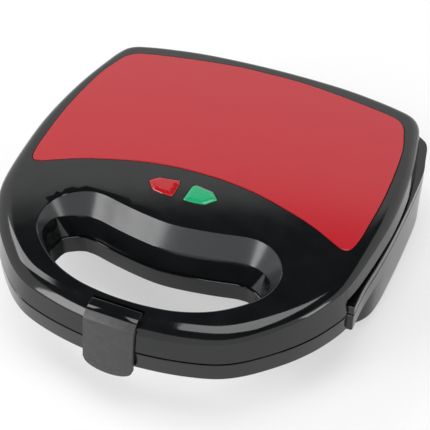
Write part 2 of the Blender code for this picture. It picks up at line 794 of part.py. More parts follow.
def add_hinge(target, word, own, others):
    # rooms for the other half's rings and for the pin, then this half's own rings
    bore = hinge_pin_radius + clearance
    for side in (-1, 1):
        centre = hinge_point(side)
        for i, (x, length) in enumerate(others):
            boolean(target, rod(f"{word}_ring_room_{side}_{i}", knuckle_radius + 2 * clearance,
                                length + 3 * clearance, centre + Vector((x, 0, 0)), "X"))
        boolean(target, rod(f"{word}_pin_room_{side}", bore + clearance, hinge_span + overrun, centre, "X", sides=16))
        for i, (x, length) in enumerate(own):
            profile = [(bore, -length / 2), (knuckle_radius, -length / 2), (knuckle_radius, length / 2),
                       (bore, length / 2)]
            ring = turned(f"{word}_ring_{side}_{i}", profile, centre + Vector((x, 0, 0)), "X", closed=True)
            boolean(target, ring, "UNION")


def make_hinge_pin(name, side):
    rod(name, hinge_pin_radius, hinge_span, hinge_point(side), "X", steel, 16)


# Latch

def latch_face_y(height):
    # the outer face leans outwards towards its bottom
    lean = (latch_face_start + latch_stand_out) / (latch_face_height - latch_tab_bottom)
    return front_y + latch_face_start - (latch_face_height - height) * lean


def latch_pivot():
    return Vector((0, front_y + latch_pivot_length, latch_pivot_height))


def latch_pin_length():
    return latch_width + 2 * latch_cheek


def make_latch():
    pivot = latch_pivot()
    boss_low = pivot.z - latch_boss_radius
    leaf_end = front_y + latch_leaf_end
    profile = [(leaf_end, latch_leaf_height), (front_y + latch_bend_start, latch_bend_height),
               (front_y + latch_face_start, latch_face_height), (latch_face_y(latch_face_bottom), latch_face_bottom),
               (latch_face_y(latch_face_bottom) + latch_sheet, latch_face_bottom),
               (latch_face_y(boss_low) + latch_sheet, boss_low)]
    for step in range(7):
        angle = blend(-pi * 5 / 6, 0.0, step / 6)
        profile.append((pivot.y + latch_boss_radius * cos(angle), pivot.z + latch_boss_radius * sin(angle)))
    profile += [(pivot.y + latch_boss_radius, latch_bend_height - latch_sheet),
                (leaf_end, latch_leaf_height - latch_sheet)]
    latch = extruded("latch", profile, -latch_width / 2, latch_width / 2, satin_grey)
    boolean(latch, make_latch_tab(), "UNION")
    boolean(latch, make_latch_hook(), "UNION")
    boolean(latch, rod("latch_bore", latch_pin_radius + clearance, latch_width + 2 * overrun, pivot, "X", sides=16))
    rod("latch_pin", latch_pin_radius, latch_pin_length(), pivot, "X", steel, 16)


def make_latch_tab():
    # a half-round thumb tab that carries the front plate on downwards
    steps = 12
    half = latch_width / 2 - latch_tab_step
    edge = [(half * cos(pi * i / steps), sin(pi * i / steps)) for i in range(steps + 1)]
    outline = [(x, blend(latch_face_bottom, latch_tab_bottom, share)) for x, share in edge]
    outline += [(x, latch_face_bottom + latch_sheet) for x in (-half, half)]
    depths = (latch_tab_step, latch_sheet - latch_tab_step)
    return loft("latch_tab", [[Vector((x, latch_face_y(z) + depth, z)) for x, z in outline] for depth in depths])


def make_latch_hook():
    top = band_bottom - latch_hook_gap
    near = latch_face_y(top) + latch_sheet / 2
    return box("latch_hook", (-latch_hook_width / 2, near, top - latch_hook_sheet),
               (latch_hook_width / 2, front_y + latch_hook_reach, top))


def cut_latch_room(shell):
    half = latch_width / 2 + clearance
    boolean(shell, box("latch_pocket", (-half, front_y - overrun, latch_pocket_floor),
                       (half, front_y + latch_pocket_length, top_height)))
    boolean(shell, box("latch_notch", (-half, front_y - overrun, 0),
                       (half, front_y + latch_skirt_notch, latch_pocket_floor + overrun)))
    boolean(shell, rod("latch_pin_hole", latch_pin_radius + clearance, latch_pin_length() + 2 * clearance,
                       latch_pivot(), "X", sides=16))


# Base

def make_base_shell():
    shell = prism("base_shell", band_outline, band_bottom, base_top, gloss_black)
    boolean(shell, make_pan(), "UNION")
    inner = offset_outline(pan_outline, -wall - pan_step)
    mouth = offset_outline(pan_outline, -pan_lip)
    boolean(shell, prism("pan_cavity", inner, foot_height + pan_fillet, deck_underside))
    boolean(shell, prism("pan_mouth", mouth, -overrun, foot_height + pan_fillet + overrun))
    hollow = prism("handle_hollow", offset_outline(band_outline, -wall), band_bottom - overrun, deck_underside)
    boolean(hollow, prism("pan_keep", pan_outline, 0.0, top_height))
    boolean(hollow, base_opening_plug)
    boolean(shell, hollow)
    boolean(shell, base_opening)
    cut_plate_bed(shell, "lower", base_top, 1)
    for side in (-1, 1):
        for word, place in (("back", cover_screw_back), ("front", cover_screw_front)):
            add_post(shell, f"base_{word}_post_{side}", place, side, base_post_radius,
                     foot_height + cover_sheet + clearance, deck_underside + post_root)
        add_post(shell, f"base_handle_post_{side}", handle_screw, side, base_post_radius,
                 band_bottom + cover_sheet + clearance, deck_underside + post_root)
    add_hinge(shell, "base", ear_places, knuckle_places)
    half = latch_width / 2 + clearance
    boolean(shell, box("base_latch_notch", (-half, front_y - overrun, 0),
                       (half, front_y + latch_base_notch, top_height)))
    boolean(shell, rod("gland_hole", gland_radius + clearance, 2 * gland_length,
                       (0, back_y, gland_height), "Y"))
    return shell


def make_pan():
    rings = []
    for step in range(5):
        angle = step / 4 * pi / 2
        inset = pan_step + pan_fillet * (1 - sin(angle))
        rings.append(at_height(offset_outline(pan_outline, -inset), foot_height + pan_fillet * (1 - cos(angle))))
    rings.append(at_height(offset_outline(pan_outline, -pan_step), band_bottom + overrun))
    return loft("pan", rings)


def make_base_handle_cover():
    outline = offset_outline(band_outline, -wall - clearance)
    cover = prism("base_handle_cover", outline, band_bottom, band_bottom + cover_sheet, matt_black)
    boolean(cover, prism("pan_room", offset_outline(pan_outline, clearance), 0.0, top_height))
    boolean(cover, base_plug_room)
    return cover


def make_bottom_cover():
    outline = offset_outline(pan_outline, -pan_lip - clearance)
    cover = prism("bottom_cover", outline, foot_height, foot_height + cover_sheet, matt_black)
    for i in range(vent_count):
        x = (i - (vent_count - 1) / 2) * vent_pitch
        y = back_y - vent_depth
        boolean(cover, box(f"vent_{i + 1}", (x - vent_width / 2, y - vent_length / 2, 0),
                           (x + vent_width / 2, y + vent_length / 2, band_bottom)))
    return cover


def make_feet(cover):
    top = foot_height - clearance
    profile = [(0, 0), (foot_radius - foot_chamfer, 0), (foot_radius, foot_chamfer), (foot_radius, top),
               (foot_stem_radius, top), (foot_stem_radius, top + foot_stem_length), (0, top + foot_stem_length)]
    for row, depth in zip(("back", "front"), foot_depths):
        for word, side in (("left", -1), ("right", 1)):
            centre = (side * (half_width - foot_side_margin), back_y - depth, 0)
            name = f"foot_{row}_{word}"
            boolean(cover, rod(name + "_hole", foot_stem_radius + clearance, 2 * band_bottom, centre, sides=12))
            turned(name, profile, centre, material=foot_rubber, sides=20)


def make_thermostat():
    top = base_top - plate_thickness - clearance
    low = top - thermostat_height
    neck = low + thermostat_height / 2
    turned("thermostat", [(0, low), (thermostat_radius * 2 / 3, low), (thermostat_radius * 2 / 3, neck),
                          (thermostat_radius, neck), (thermostat_radius, top), (0, top)],
           (thermostat_x, back_y - thermostat_depth, 0), material=steel)
    rod("thermal_fuse", fuse_radius, fuse_length, (-thermostat_x, back_y - thermostat_depth, top - fuse_radius),
        "X", ceramic, 16)


def make_terminal_block():
    low = foot_height + cover_sheet + clearance
    y = back_y - block_depth
    block = box("terminal_block", (-block_width / 2, y - block_length / 2, low),
                (block_width / 2, y + block_length / 2, low + block_height), ceramic)
    for word, side in (("left", -1), ("right", 1)):
        boolean(block, rod(f"block_hole_{word}", block_hole_radius, 2 * block_hole_depth,
                           (side * lead_spread, y, low + block_height), sides=16))


def make_base_leads():
    start_y = back_y - block_depth + block_length / 2 + clearance
    low = foot_height + cover_sheet + clearance + block_height / 2
    high = base_top - plate_thickness - clearance - heater_radius
    turn_y = tail_end_y + lead_turn
    for word, side, material in (("left", -1, blue_wire), ("right", 1, brown_wire)):
        near, far = side * lead_spread, side * tail_spread
        corners = [(near, start_y, low), (near, turn_y, low), (far, turn_y, low), (far, turn_y, high),
                   (far, tail_end_y + clearance, high)]
        tube(f"base_lead_{word}", rounded_path(corners, lead_bend, 3), lead_radius, material, 6)


def make_lid_leads():
    height = lid_bottom + plate_thickness + clearance + heater_radius
    lamp_y = back_y - lamp_pair_depth
    turn_y = tail_end_y + lid_lead_turn
    reach = lamp_pair_gap / 2 + lens_width + holder_wall + clearance
    for word, side, material in (("left", -1, blue_wire), ("right", 1, brown_wire)):
        tail, far = side * tail_spread, side * (plate_half_width - lid_lead_margin)
        corners = [(tail, tail_end_y + clearance, height), (tail, turn_y, height), (far, turn_y, height),
                   (far, lamp_y, height), (side * reach - lamp_pair_offset, lamp_y, height)]
        tube(f"lid_lead_{word}", rounded_path(corners, lead_bend, 3), lead_radius, material, 6)


def make_cord_gland():
    # a hollow bush in the back wall; no cord is part of this object
    outside = clearance
    profile = [(gland_bore, -gland_length), (gland_radius, -gland_length), (gland_radius, outside),
               (gland_collar_radius, outside), (gland_collar_radius, outside + gland_collar),
               (gland_neck, gland_proud), (gland_bore, gland_proud)]
    turned("cord_gland", profile, (0, back_y, gland_height), "Y", matt_black, closed=True)


shell = make_lid_shell()
frame = make_lid_frame()
lid_cover = make_lid_handle_cover()
base = make_base_shell()
base_cover = make_base_handle_cover()
bottom = make_bottom_cover()
make_cover_plate()
make_lens("red_lamp_lens", -1, red_jewel)
make_lens("green_lamp_lens", 1, green_jewel)
make_lamp_holder()
make_heating("upper", lid_bottom, -1)
make_heating("lower", base_top, 1)
make_latch()
make_feet(bottom)
make_thermostat()
make_terminal_block()
make_base_leads()
make_lid_leads()
make_cord_gland()
for word, side in (("left", -1), ("right", 1)):
    make_hinge_pin(f"hinge_pin_{word}", side)
    add_screw(f"frame_screw_back_{word}", frame_screw_back, side, lid_bottom, long_screw, (frame, shell))
    add_screw(f"frame_screw_front_{word}", frame_screw_front, side, lid_bottom, long_screw, (frame, shell))
    add_screw(f"lid_handle_screw_{word}", handle_screw, side, lid_bottom, short_screw, (lid_cover, shell))
    add_screw(f"base_handle_screw_{word}", handle_screw, side, band_bottom, short_screw, (base_cover, base))
    add_screw(f"cover_screw_back_{word}", cover_screw_back, side, foot_height, long_screw, (bottom, base))
    add_screw(f"cover_screw_front_{word}", cover_screw_front, side, foot_height, long_screw, (bottom, base))
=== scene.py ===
# Looks of a sandwich maker: glossy black lid and base, red cover plate, satin latch.
# Metres; +X right, +Y back, +Z up; the origin is on the ground under the middle.
import math
import bpy
import bmesh
import numpy as np
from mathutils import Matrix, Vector
from mathutils.geometry import delaunay_2d_cdt


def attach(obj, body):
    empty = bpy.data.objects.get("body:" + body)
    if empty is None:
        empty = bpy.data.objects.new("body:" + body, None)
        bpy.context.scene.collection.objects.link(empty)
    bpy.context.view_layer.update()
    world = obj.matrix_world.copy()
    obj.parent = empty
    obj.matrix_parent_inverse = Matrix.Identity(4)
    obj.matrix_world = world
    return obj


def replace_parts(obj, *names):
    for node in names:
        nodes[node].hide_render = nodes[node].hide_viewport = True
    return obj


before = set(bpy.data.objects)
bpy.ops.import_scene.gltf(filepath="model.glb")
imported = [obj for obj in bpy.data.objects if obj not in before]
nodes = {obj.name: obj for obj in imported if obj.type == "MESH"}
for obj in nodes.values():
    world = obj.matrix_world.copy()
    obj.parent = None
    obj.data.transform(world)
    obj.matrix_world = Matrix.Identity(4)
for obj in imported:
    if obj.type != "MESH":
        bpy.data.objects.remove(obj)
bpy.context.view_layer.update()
print("frame loaded:", len(nodes), "CAD nodes")

# Sizes shared with the CAD source; a depth counts from the back wall towards the front
body = {
    "width": 0.229, "depth": 0.240, "backY": 0.11995, "stepDepth": 0.169,
    "lidBottom": 0.0444, "baseTop": 0.0436, "clearance": 0.0003, "wall": 0.0025,
}
halfWidth = body["width"] / 2
backY = body["backY"]
frontY = backY - body["depth"]
stepY = backY - body["stepDepth"]
lidBottom = body["lidBottom"]
baseTop = body["baseTop"]
clearance = body["clearance"]
wall = body["wall"]

# Half outlines from the back middle to the front middle: shares of half the width and of the depth
lidShares = (
    (0.000, 0.0065), (0.378, 0.0138), (0.613, 0.0301), (0.766, 0.0473), (0.847, 0.0624),
    (0.892, 0.0903), (0.923, 0.1462), (0.967, 0.2753), (0.985, 0.4129), (0.974, 0.5290),
    (0.933, 0.6839), (0.865, 0.7669), (0.781, 0.8284), (0.688, 0.8778), (0.590, 0.9200),
    (0.485, 0.9497), (0.324, 0.9720), (0.162, 0.9842), (0.000, 0.9892))
bodyShares = (
    (0.000, 0.0000), (0.541, 0.0129), (0.811, 0.0366), (0.910, 0.0602), (0.950, 0.0860),
    (0.973, 0.1376), (0.993, 0.1892), (0.999, 0.2667), (1.000, 0.3527), (0.996, 0.4602),
    (0.986, 0.5462), (0.971, 0.6323), (0.970, 0.7100))
panShares = bodyShares[:10] + (
    (0.989, 0.5161), (0.972, 0.5574), (0.923, 0.5923), (0.850, 0.6155), (0.764, 0.6237),
    (0.631, 0.6237), (0.405, 0.6237), (0.000, 0.6237))
openingShares = (
    (0.000, 0.6796), (0.135, 0.6735), (0.270, 0.6624), (0.392, 0.6503), (0.477, 0.6538),
    (0.559, 0.6774), (0.613, 0.7140), (0.625, 0.7527), (0.604, 0.7957), (0.532, 0.8387),
    (0.414, 0.8817), (0.270, 0.9097), (0.126, 0.9217), (0.000, 0.9247))
coverShares = (
    (0.000, 0.0516), (0.180, 0.0529), (0.383, 0.0645), (0.586, 0.0817), (0.712, 0.0946),
    (0.775, 0.1040), (0.822, 0.1260), (0.847, 0.1600), (0.878, 0.2215), (0.895, 0.3097),
    (0.901, 0.4170), (0.890, 0.5247), (0.883, 0.5634), (0.868, 0.5960), (0.838, 0.6060),
    (0.793, 0.5978), (0.650, 0.5630), (0.505, 0.5376), (0.315, 0.5118), (0.135, 0.4989),
    (0.000, 0.4968))


# Outlines are arrays of (x, y) points and turn anticlockwise seen from above

def halfCurve(shares, steps=16):
    knots = np.array([(halfWidth * x, backY - body["depth"] * y) for x, y in shares])
    flip = np.array((-1, 1))
    last = knots[-2] * flip if knots[-1][0] == 0 else 2 * knots[-1] - knots[-2]
    guides = np.vstack([knots[1] * flip, knots, last])
    t = (np.arange(steps) / steps)[:, None]
    curve = []
    for before, start, end, after in zip(guides, guides[1:], guides[2:], guides[3:]):
        bend = (2 * before - 5 * start + 4 * end - after) * t ** 2
        twist = (3 * start - before - 3 * end + after) * t ** 3
        curve.append((2 * start + (end - before) * t + bend + twist) / 2)
    return np.vstack(curve + [knots[-1:]])


def mirrored(half):
    other = half[half[:, 0] > 1e-9] * (-1, 1)
    return np.vstack([half[::-1], other])


def evenly(outline, spacing):
    closed = np.vstack([outline, outline[:1]])
    steps = np.hypot(*np.diff(closed, axis=0).T)
    along = np.concatenate([[0], np.cumsum(steps)])
    count = 2 * round(along[-1] / spacing / 2)
    places = np.arange(count) * along[-1] / count
    return np.column_stack([np.interp(places, along, closed[:, i]) for i in (0, 1)])


def softened(outline, reach):
    # a bell-shaped average along the outline, reach metres wide
    spacing = np.hypot(*(outline[1] - outline[0]))
    far = int(3 * reach / spacing) + 1
    weights = np.exp(-0.5 * (np.arange(-far, far + 1) * spacing / reach) ** 2)
    weights /= weights.sum()
    return sum(w * np.roll(outline, k, axis=0) for w, k in zip(weights, range(-far, far + 1)))


def fineOutline(shares, spacing=0.0012, reach=0.0025):
    return softened(evenly(mirrored(halfCurve(shares)), spacing), reach)


def normalsOf(outline):
    along = np.roll(outline, -1, axis=0) - np.roll(outline, 1, axis=0)
    across = np.column_stack([along[:, 1], -along[:, 0]])
    return across / np.hypot(*across.T)[:, None]


def grown(outline, distance):
    return outline + normalsOf(outline) * np.reshape(distance, (-1, 1))


def atHeight(outline, height):
    return np.column_stack([outline, np.broadcast_to(height, len(outline))])


def circle(radius, sides=48):
    angles = np.linspace(0, 2 * math.pi, sides, endpoint=False)
    return radius * np.column_stack([np.cos(angles), np.sin(angles)])


def inside(points, outline):
    x, y = points[:, 0], points[:, 1]
    hits = np.zeros(len(points), bool)
    for (ax, ay), (bx, by) in zip(outline, np.roll(outline, -1, axis=0)):
        crosses = (ay > y) != (by > y)
        with np.errstate(divide="ignore", invalid="ignore"):
            hits ^= crosses & (x < (bx - ax) * (y - ay) / (by - ay) + ax)
    return hits


# Mesh drafts

class Draft:
    # gathers rings, skins between rings and caps, then becomes one closed mesh
    def __init__(self):
        self.points, self.faces, self.marks = [], [], []

    def ring(self, points):
        start = len(self.points)
        self.points.extend(map(tuple, points))
        return np.arange(start, len(self.points))

    def skin(self, low, high, mark=0):
        for a, b, c, d in zip(low, np.roll(low, -1), np.roll(high, -1), high):
            self.faces.append((a, b, c, d))
            self.marks.append(mark)

    def skins(self, rings, mark=0):
        for low, high in zip(rings, rings[1:]):
            self.skin(low, high, mark)

    def cap(self, outer, holes=(), height=None, spacing=0.0, mark=0, axes=(0, 1)):
        # fills between an outer ring and hole rings, flat in the plane of two axes;
        # with a spacing, inner points follow height(xy)
        places = np.array(self.points)[:, list(axes)]
        rings = [outer, *holes]
        index = list(np.concatenate(rings))
        edges, start = [], 0
        for ring in rings:
            edges += [(start + i, start + (i + 1) % len(ring)) for i in range(len(ring))]
            start += len(ring)
        flat = [places[i] for i in index]
        if spacing:
            low, high = places[outer].min(axis=0), places[outer].max(axis=0)
            grid = np.stack(np.meshgrid(np.arange(low[0], high[0], spacing),
                                        np.arange(low[1], high[1], spacing)), axis=-1).reshape(-1, 2)
            keep = inside(grid, places[outer])
            for ring in holes:
                keep &= ~inside(grid, places[ring])
            grid = grid[keep]
            border = places[index]
            near = np.array([np.min(np.sum((border - p) ** 2, axis=1)) for p in grid])
            grid = grid[near > (spacing * 0.5) ** 2]
            index += list(self.ring(np.column_stack([grid, height(grid)])))
            flat += list(grid)
        verts, _, faces, origins, _, _ = delaunay_2d_cdt([Vector(p) for p in flat], edges, [], 0, 1e-9)
        middles = np.array([np.mean([verts[i][:] for i in face], axis=0) for face in faces])
        keep = inside(middles, places[outer])
        for ring in holes:
            keep &= ~inside(middles, places[ring])
        for face, kept in zip(faces, keep):
            if kept:
                self.faces.append(tuple(index[origins[i][0]] for i in face))
                self.marks.append(mark)

    def build(self, name, materials, sharp=32):
        mesh = bpy.data.meshes.new(name)
        mesh.from_pydata(self.points, [], [tuple(int(i) for i in face) for face in self.faces])
        for material in materials:
            mesh.materials.append(material)
        mesh.polygons.foreach_set("material_index", self.marks)
        return finishMesh(name, mesh, sharp)


def finishMesh(name, mesh, sharp=32):
    bm = bmesh.new()
    bm.from_mesh(mesh)
    bmesh.ops.remove_doubles(bm, verts=bm.verts, dist=2e-6)
    bmesh.ops.recalc_face_normals(bm, faces=bm.faces)
    bm.to_mesh(mesh)
    bm.free()
    mesh.shade_smooth()
    mesh.set_sharp_from_angle(angle=math.radians(sharp))
    obj = bpy.data.objects.new(name, mesh)
    bpy.context.collection.objects.link(obj)
    return obj


def applied(obj):
    # the evaluated mesh, with every modifier in it
    graph = bpy.context.evaluated_depsgraph_get()
    mesh = bpy.data.meshes.new_from_object(obj.evaluated_get(graph), depsgraph=graph)
    obj.modifiers.clear()
    obj.data = mesh
    return obj


def cut(target, other, operation="DIFFERENCE"):
    modifier = target.modifiers.new(operation, "BOOLEAN")
    modifier.operation = operation
    modifier.solver = "EXACT"
    modifier.object = other
    applied(target)
    bpy.data.objects.remove(other)
    return target


def joinedTo(target, *others):
    bm = bmesh.new()
    bm.from_mesh(target.data)
    for other in others:
        bm.from_mesh(other.data)
        bpy.data.objects.remove(other)
    bm.to_mesh(target.data)
    bm.free()
    return target


def boxDraft(low, high):
    draft = Draft()
    corners = [(high[0], low[1]), (high[0], high[1]), (low[0], high[1]), (low[0], low[1])]
    bottom = draft.ring([(x, y, low[2]) for x, y in corners])
    top = draft.ring([(x, y, high[2]) for x, y in corners])
    draft.skin(bottom, top)
    draft.faces += [tuple(bottom[::-1]), tuple(top)]
    draft.marks += [0, 0]
    return draft


def pushed(outline, levels, place, axes=(0, 1)):
    # an outline pushed along a third axis; levels are (how far it is grown, how far along)
    draft = Draft()
    rings = [draft.ring(place(grown(outline, grow), along)) for grow, along in levels]
    draft.skins(rings)
    draft.cap(rings[0], axes=axes)
    draft.cap(rings[-1], axes=axes)
    return draft


def roundedLevels(low, high, radius, steps=3):
    # (grow, along) levels of a solid whose two end faces have a quarter round
    turns = [math.pi / 2 * step / steps for step in range(steps + 1)]
    start = [(-radius * (1 - math.sin(a)), low + radius * (1 - math.cos(a))) for a in turns]
    return start + [(grow, low + high - along) for grow, along in reversed(start)]


def bar(profile, low, high, radius):
    # a (y, z) profile pushed along X
    return pushed(profile, roundedLevels(low, high, radius),
                  lambda ring, x: np.column_stack([np.full(len(ring), x), ring]), (1, 2))


def roundedCorners(corners, radius, steps=5, closed=True):
    # corners joined by straight runs and parabolic bends
    corners = [np.array(c, float) for c in corners]
    radii = radius if hasattr(radius, "__len__") else [radius] * len(corners)
    points = []
    for i, corner in enumerate(corners):
        before, after = corners[i - 1], corners[(i + 1) % len(corners)]
        if radii[i] <= 0 or (not closed and i in (0, len(corners) - 1)):
            points.append(corner)
            continue
        start = corner + (before - corner) / np.linalg.norm(before - corner) * radii[i]
        end = corner + (after - corner) / np.linalg.norm(after - corner) * radii[i]
        for t in np.linspace(0, 1, steps + 1):
            points.append(start * (1 - t) ** 2 + corner * 2 * t * (1 - t) + end * t ** 2)
    return np.array(points)


def turnedRing(inner, outer, length, centre, radius=0.0003, sides=40):
    # a hollow round lying along X
    draft = Draft()
    angles = np.linspace(0, 2 * math.pi, sides, endpoint=False)
    half = length / 2
    profile = [(inner, half), (inner, -half), (outer - radius, -half),
               (outer - radius * 0.3, -half + radius * 0.3),
               (outer, -half + radius), (outer, half - radius), (outer - radius * 0.3, half - radius * 0.3),
               (outer - radius, half)]
    rings = []
    for r, x in profile:
        ring = [(centre[0] + x, centre[1] + r * math.cos(a), centre[2] + r * math.sin(a)) for a in angles]
        rings.append(draft.ring(ring))
    draft.skins(rings + [rings[0]])
    return draft


# Geometry Nodes: a small helper that adds nodes and links, then one tree for each kind of piece

class Shape:
    # a node tree with named inputs; numbers and sockets may be mixed in its sums
    def __init__(self, name, inputs):
        self.tree = bpy.data.node_groups.new(name, "GeometryNodeTree")
        face = self.tree.interface
        face.new_socket("Geometry", in_out="OUTPUT", socket_type="NodeSocketGeometry")
        face.new_socket("Geometry", in_out="INPUT", socket_type="NodeSocketGeometry")
        kinds = {float: "NodeSocketFloat", int: "NodeSocketInt", bpy.types.Material: "NodeSocketMaterial"}
        self.values = {}
        for label, value in inputs.items():
            socket = face.new_socket(label, in_out="INPUT", socket_type=kinds[type(value)])
            self.values[socket.identifier] = value
        self.start = self.tree.nodes.new("NodeGroupInput")
        self.end = self.tree.nodes.new("NodeGroupOutput")

    def __getitem__(self, label):
        return self.start.outputs[label]

    def node(self, kind, inputs=None, **settings):
        node = self.tree.nodes.new(kind)
        for name, value in settings.items():
            setattr(node, name, value)
        for name, value in (inputs or {}).items():
            self.give(node.inputs[name], value)
        return node

    def give(self, socket, value):
        if isinstance(value, (list, tuple)) and isinstance(value[0], bpy.types.NodeSocket):
            for one in value:
                self.tree.links.new(one, socket)
        elif isinstance(value, bpy.types.NodeSocket):
            self.tree.links.new(value, socket)
        else:
            socket.default_value = value

    def sum(self, operation, *terms):
        return self.node("ShaderNodeMath", dict(enumerate(terms)), operation=operation).outputs[0]

    def vector(self, x, y, z):
        return self.node("ShaderNodeCombineXYZ", {"X": x, "Y": y, "Z": z}).outputs[0]

    def place(self):
        position = self.node("GeometryNodeInputPosition").outputs[0]
        return self.node("ShaderNodeSeparateXYZ", {"Vector": position}).outputs

    def moved(self, geometry, x, y, z):
        inputs = {"Geometry": geometry, "Position": self.vector(x, y, z)}
        return self.node("GeometryNodeSetPosition", inputs).outputs[0]

    def shifted(self, geometry, z):
        inputs = {"Geometry": geometry, "Translation": self.vector(0, 0, z)}
        return self.node("GeometryNodeTransform", inputs).outputs[0]

    def cylinder(self, radius, depth, sides, rows=1, rings=1):
        return self.node("GeometryNodeMeshCylinder", {"Vertices": sides, "Side Segments": rows,
                                                      "Fill Segments": rings,
                                                      "Radius": radius, "Depth": depth}).outputs["Mesh"]

    def joined(self, *parts):
        return self.node("GeometryNodeJoinGeometry", {"Geometry": parts}).outputs[0]

    def onPoints(self, piece, scale=(1, 1, 1)):
        return self.node("GeometryNodeInstanceOnPoints", {"Points": self["Geometry"], "Instance": piece,
                                                          "Scale": scale}).outputs[0]

    def close(self, geometry):
        real = self.node("GeometryNodeRealizeInstances", {"Geometry": geometry}).outputs[0]
        inputs = {"Geometry": real, "Material": self["Material"]}
        finish = self.node("GeometryNodeSetMaterial", inputs).outputs[0]
        self.tree.links.new(finish, self.end.inputs[0])
        return self

    def made(self, name, points, edges=(), sharp=32, **marks):
        # runs the tree on a few points or edges and returns the plain mesh
        mesh = bpy.data.meshes.new(name)
        mesh.from_pydata([tuple(p) for p in points], list(edges), [])
        for mark, numbers in marks.items():
            mesh.attributes.new(mark, "FLOAT", "POINT").data.foreach_set("value", numbers)
        obj = bpy.data.objects.new(name + "Source", mesh)
        bpy.context.collection.objects.link(obj)
        modifier = obj.modifiers.new("shape", "NODES")
        modifier.node_group = self.tree
        for identifier, value in self.values.items():
            modifier[identifier] = value
        result = applied(obj).data
        bpy.data.objects.remove(obj)
        for mark in [a.name for a in result.attributes if a.name in marks]:
            result.attributes.remove(result.attributes[mark])
        return finishMesh(name, result, sharp)


# Materials

def newMaterial(name, colour, roughness, metallic=0.0):
    material = bpy.data.materials.new(name)
    material.use_nodes = True
    shader = material.node_tree.nodes["Principled BSDF"]
    shader.inputs["Base Color"].default_value = (*colour, 1)
    shader.inputs["Roughness"].default_value = roughness
    shader.inputs["Metallic"].default_value = metallic
    return material


def addNode(material, kind, **values):
    node = material.node_tree.nodes.new(kind)
    for name, value in values.items():
        if hasattr(node, name):
            setattr(node, name, value)
        else:
            node.inputs[name].default_value = value
    return node


def join(material, source, output, target, name):
    material.node_tree.links.new(source.outputs[output], target.inputs[name])


def addGrain(material, scale, strength, distance, detail=3.0, stretch=(1, 1, 1)):
    # a fine bump on Object coordinates
    shader = material.node_tree.nodes["Principled BSDF"]
    place = addNode(material, "ShaderNodeTexCoord")
    mapping = addNode(material, "ShaderNodeMapping")
    mapping.inputs["Scale"].default_value = stretch
    noise = addNode(material, "ShaderNodeTexNoise", Scale=scale, Detail=detail)
    bump = addNode(material, "ShaderNodeBump", Strength=strength, Distance=distance)
    join(material, place, "Object", mapping, "Vector")
    join(material, mapping, "Vector", noise, "Vector")
    join(material, noise, "Fac", bump, "Height")
    join(material, bump, "Normal", shader, "Normal")
    return noise


def addWear(material, low, high, scale, detail=4.0, stretch=(1, 1, 1)):
    # roughness that wanders between two levels, as handling leaves it
    shader = material.node_tree.nodes["Principled BSDF"]
    place = addNode(material, "ShaderNodeTexCoord")
    mapping = addNode(material, "ShaderNodeMapping")
    mapping.inputs["Scale"].default_value = stretch
    noise = addNode(material, "ShaderNodeTexNoise", Scale=scale, Detail=detail)
    levels = addNode(material, "ShaderNodeMapRange")
    levels.inputs["From Min"].default_value = 0.3
    levels.inputs["From Max"].default_value = 0.7
    levels.inputs["To Min"].default_value = low
    levels.inputs["To Max"].default_value = high
    join(material, place, "Object", mapping, "Vector")
    join(material, mapping, "Vector", noise, "Vector")
    join(material, noise, "Fac", levels, "Value")
    join(material, levels, "Result", shader, "Roughness")


def addTone(material, dark, light, scale, detail=3.0, stretch=(1, 1, 1)):
    # colour that wanders between two tones
    shader = material.node_tree.nodes["Principled BSDF"]
    place = addNode(material, "ShaderNodeTexCoord")
    mapping = addNode(material, "ShaderNodeMapping")
    mapping.inputs["Scale"].default_value = stretch
    noise = addNode(material, "ShaderNodeTexNoise", Scale=scale, Detail=detail)
    ramp = addNode(material, "ShaderNodeValToRGB")
    ramp.color_ramp.elements[0].position = 0.3
    ramp.color_ramp.elements[0].color = (*dark, 1)
    ramp.color_ramp.elements[1].position = 0.7
    ramp.color_ramp.elements[1].color = (*light, 1)
    join(material, place, "Object", mapping, "Vector")
    join(material, mapping, "Vector", noise, "Vector")
    join(material, noise, "Fac", ramp, "Fac")
    join(material, ramp, "Color", shader, "Base Color")


glossBlack = newMaterial("glossBlackPlastic", (0.004, 0.0045, 0.005), 0.08)
addTone(glossBlack, (0.0035, 0.004, 0.0045), (0.006, 0.0065, 0.007), 60)
addWear(glossBlack, 0.05, 0.10, 90)
addGrain(glossBlack, 700, 0.02, 0.0002, 1.0)

satinSlope = newMaterial("satinSlopePlastic", (0.02, 0.021, 0.023), 0.22)
addWear(satinSlope, 0.20, 0.26, 200)
addGrain(satinSlope, 2500, 0.05, 0.0002, 1.0)

satinGrey = newMaterial("satinGreyPlastic", (0.035, 0.035, 0.036), 0.42)
addTone(satinGrey, (0.030, 0.030, 0.031), (0.042, 0.042, 0.043), 300)
addWear(satinGrey, 0.36, 0.48, 250)
addGrain(satinGrey, 3500, 0.25, 0.0002, 2.0)

mattBlack = newMaterial("mattBlackPlastic", (0.012, 0.012, 0.013), 0.6)
addTone(mattBlack, (0.010, 0.010, 0.011), (0.016, 0.016, 0.017), 200)
addGrain(mattBlack, 2500, 0.3, 0.0002, 2.0)

redEnamel = newMaterial("redEnamel", (0.40, 0.010, 0.017), 0.16)
addTone(redEnamel, (0.385, 0.009, 0.016), (0.415, 0.011, 0.018), 1800, 2.0)
addWear(redEnamel, 0.14, 0.18, 120)
addGrain(redEnamel, 2200, 0.015, 0.0002, 1.0)

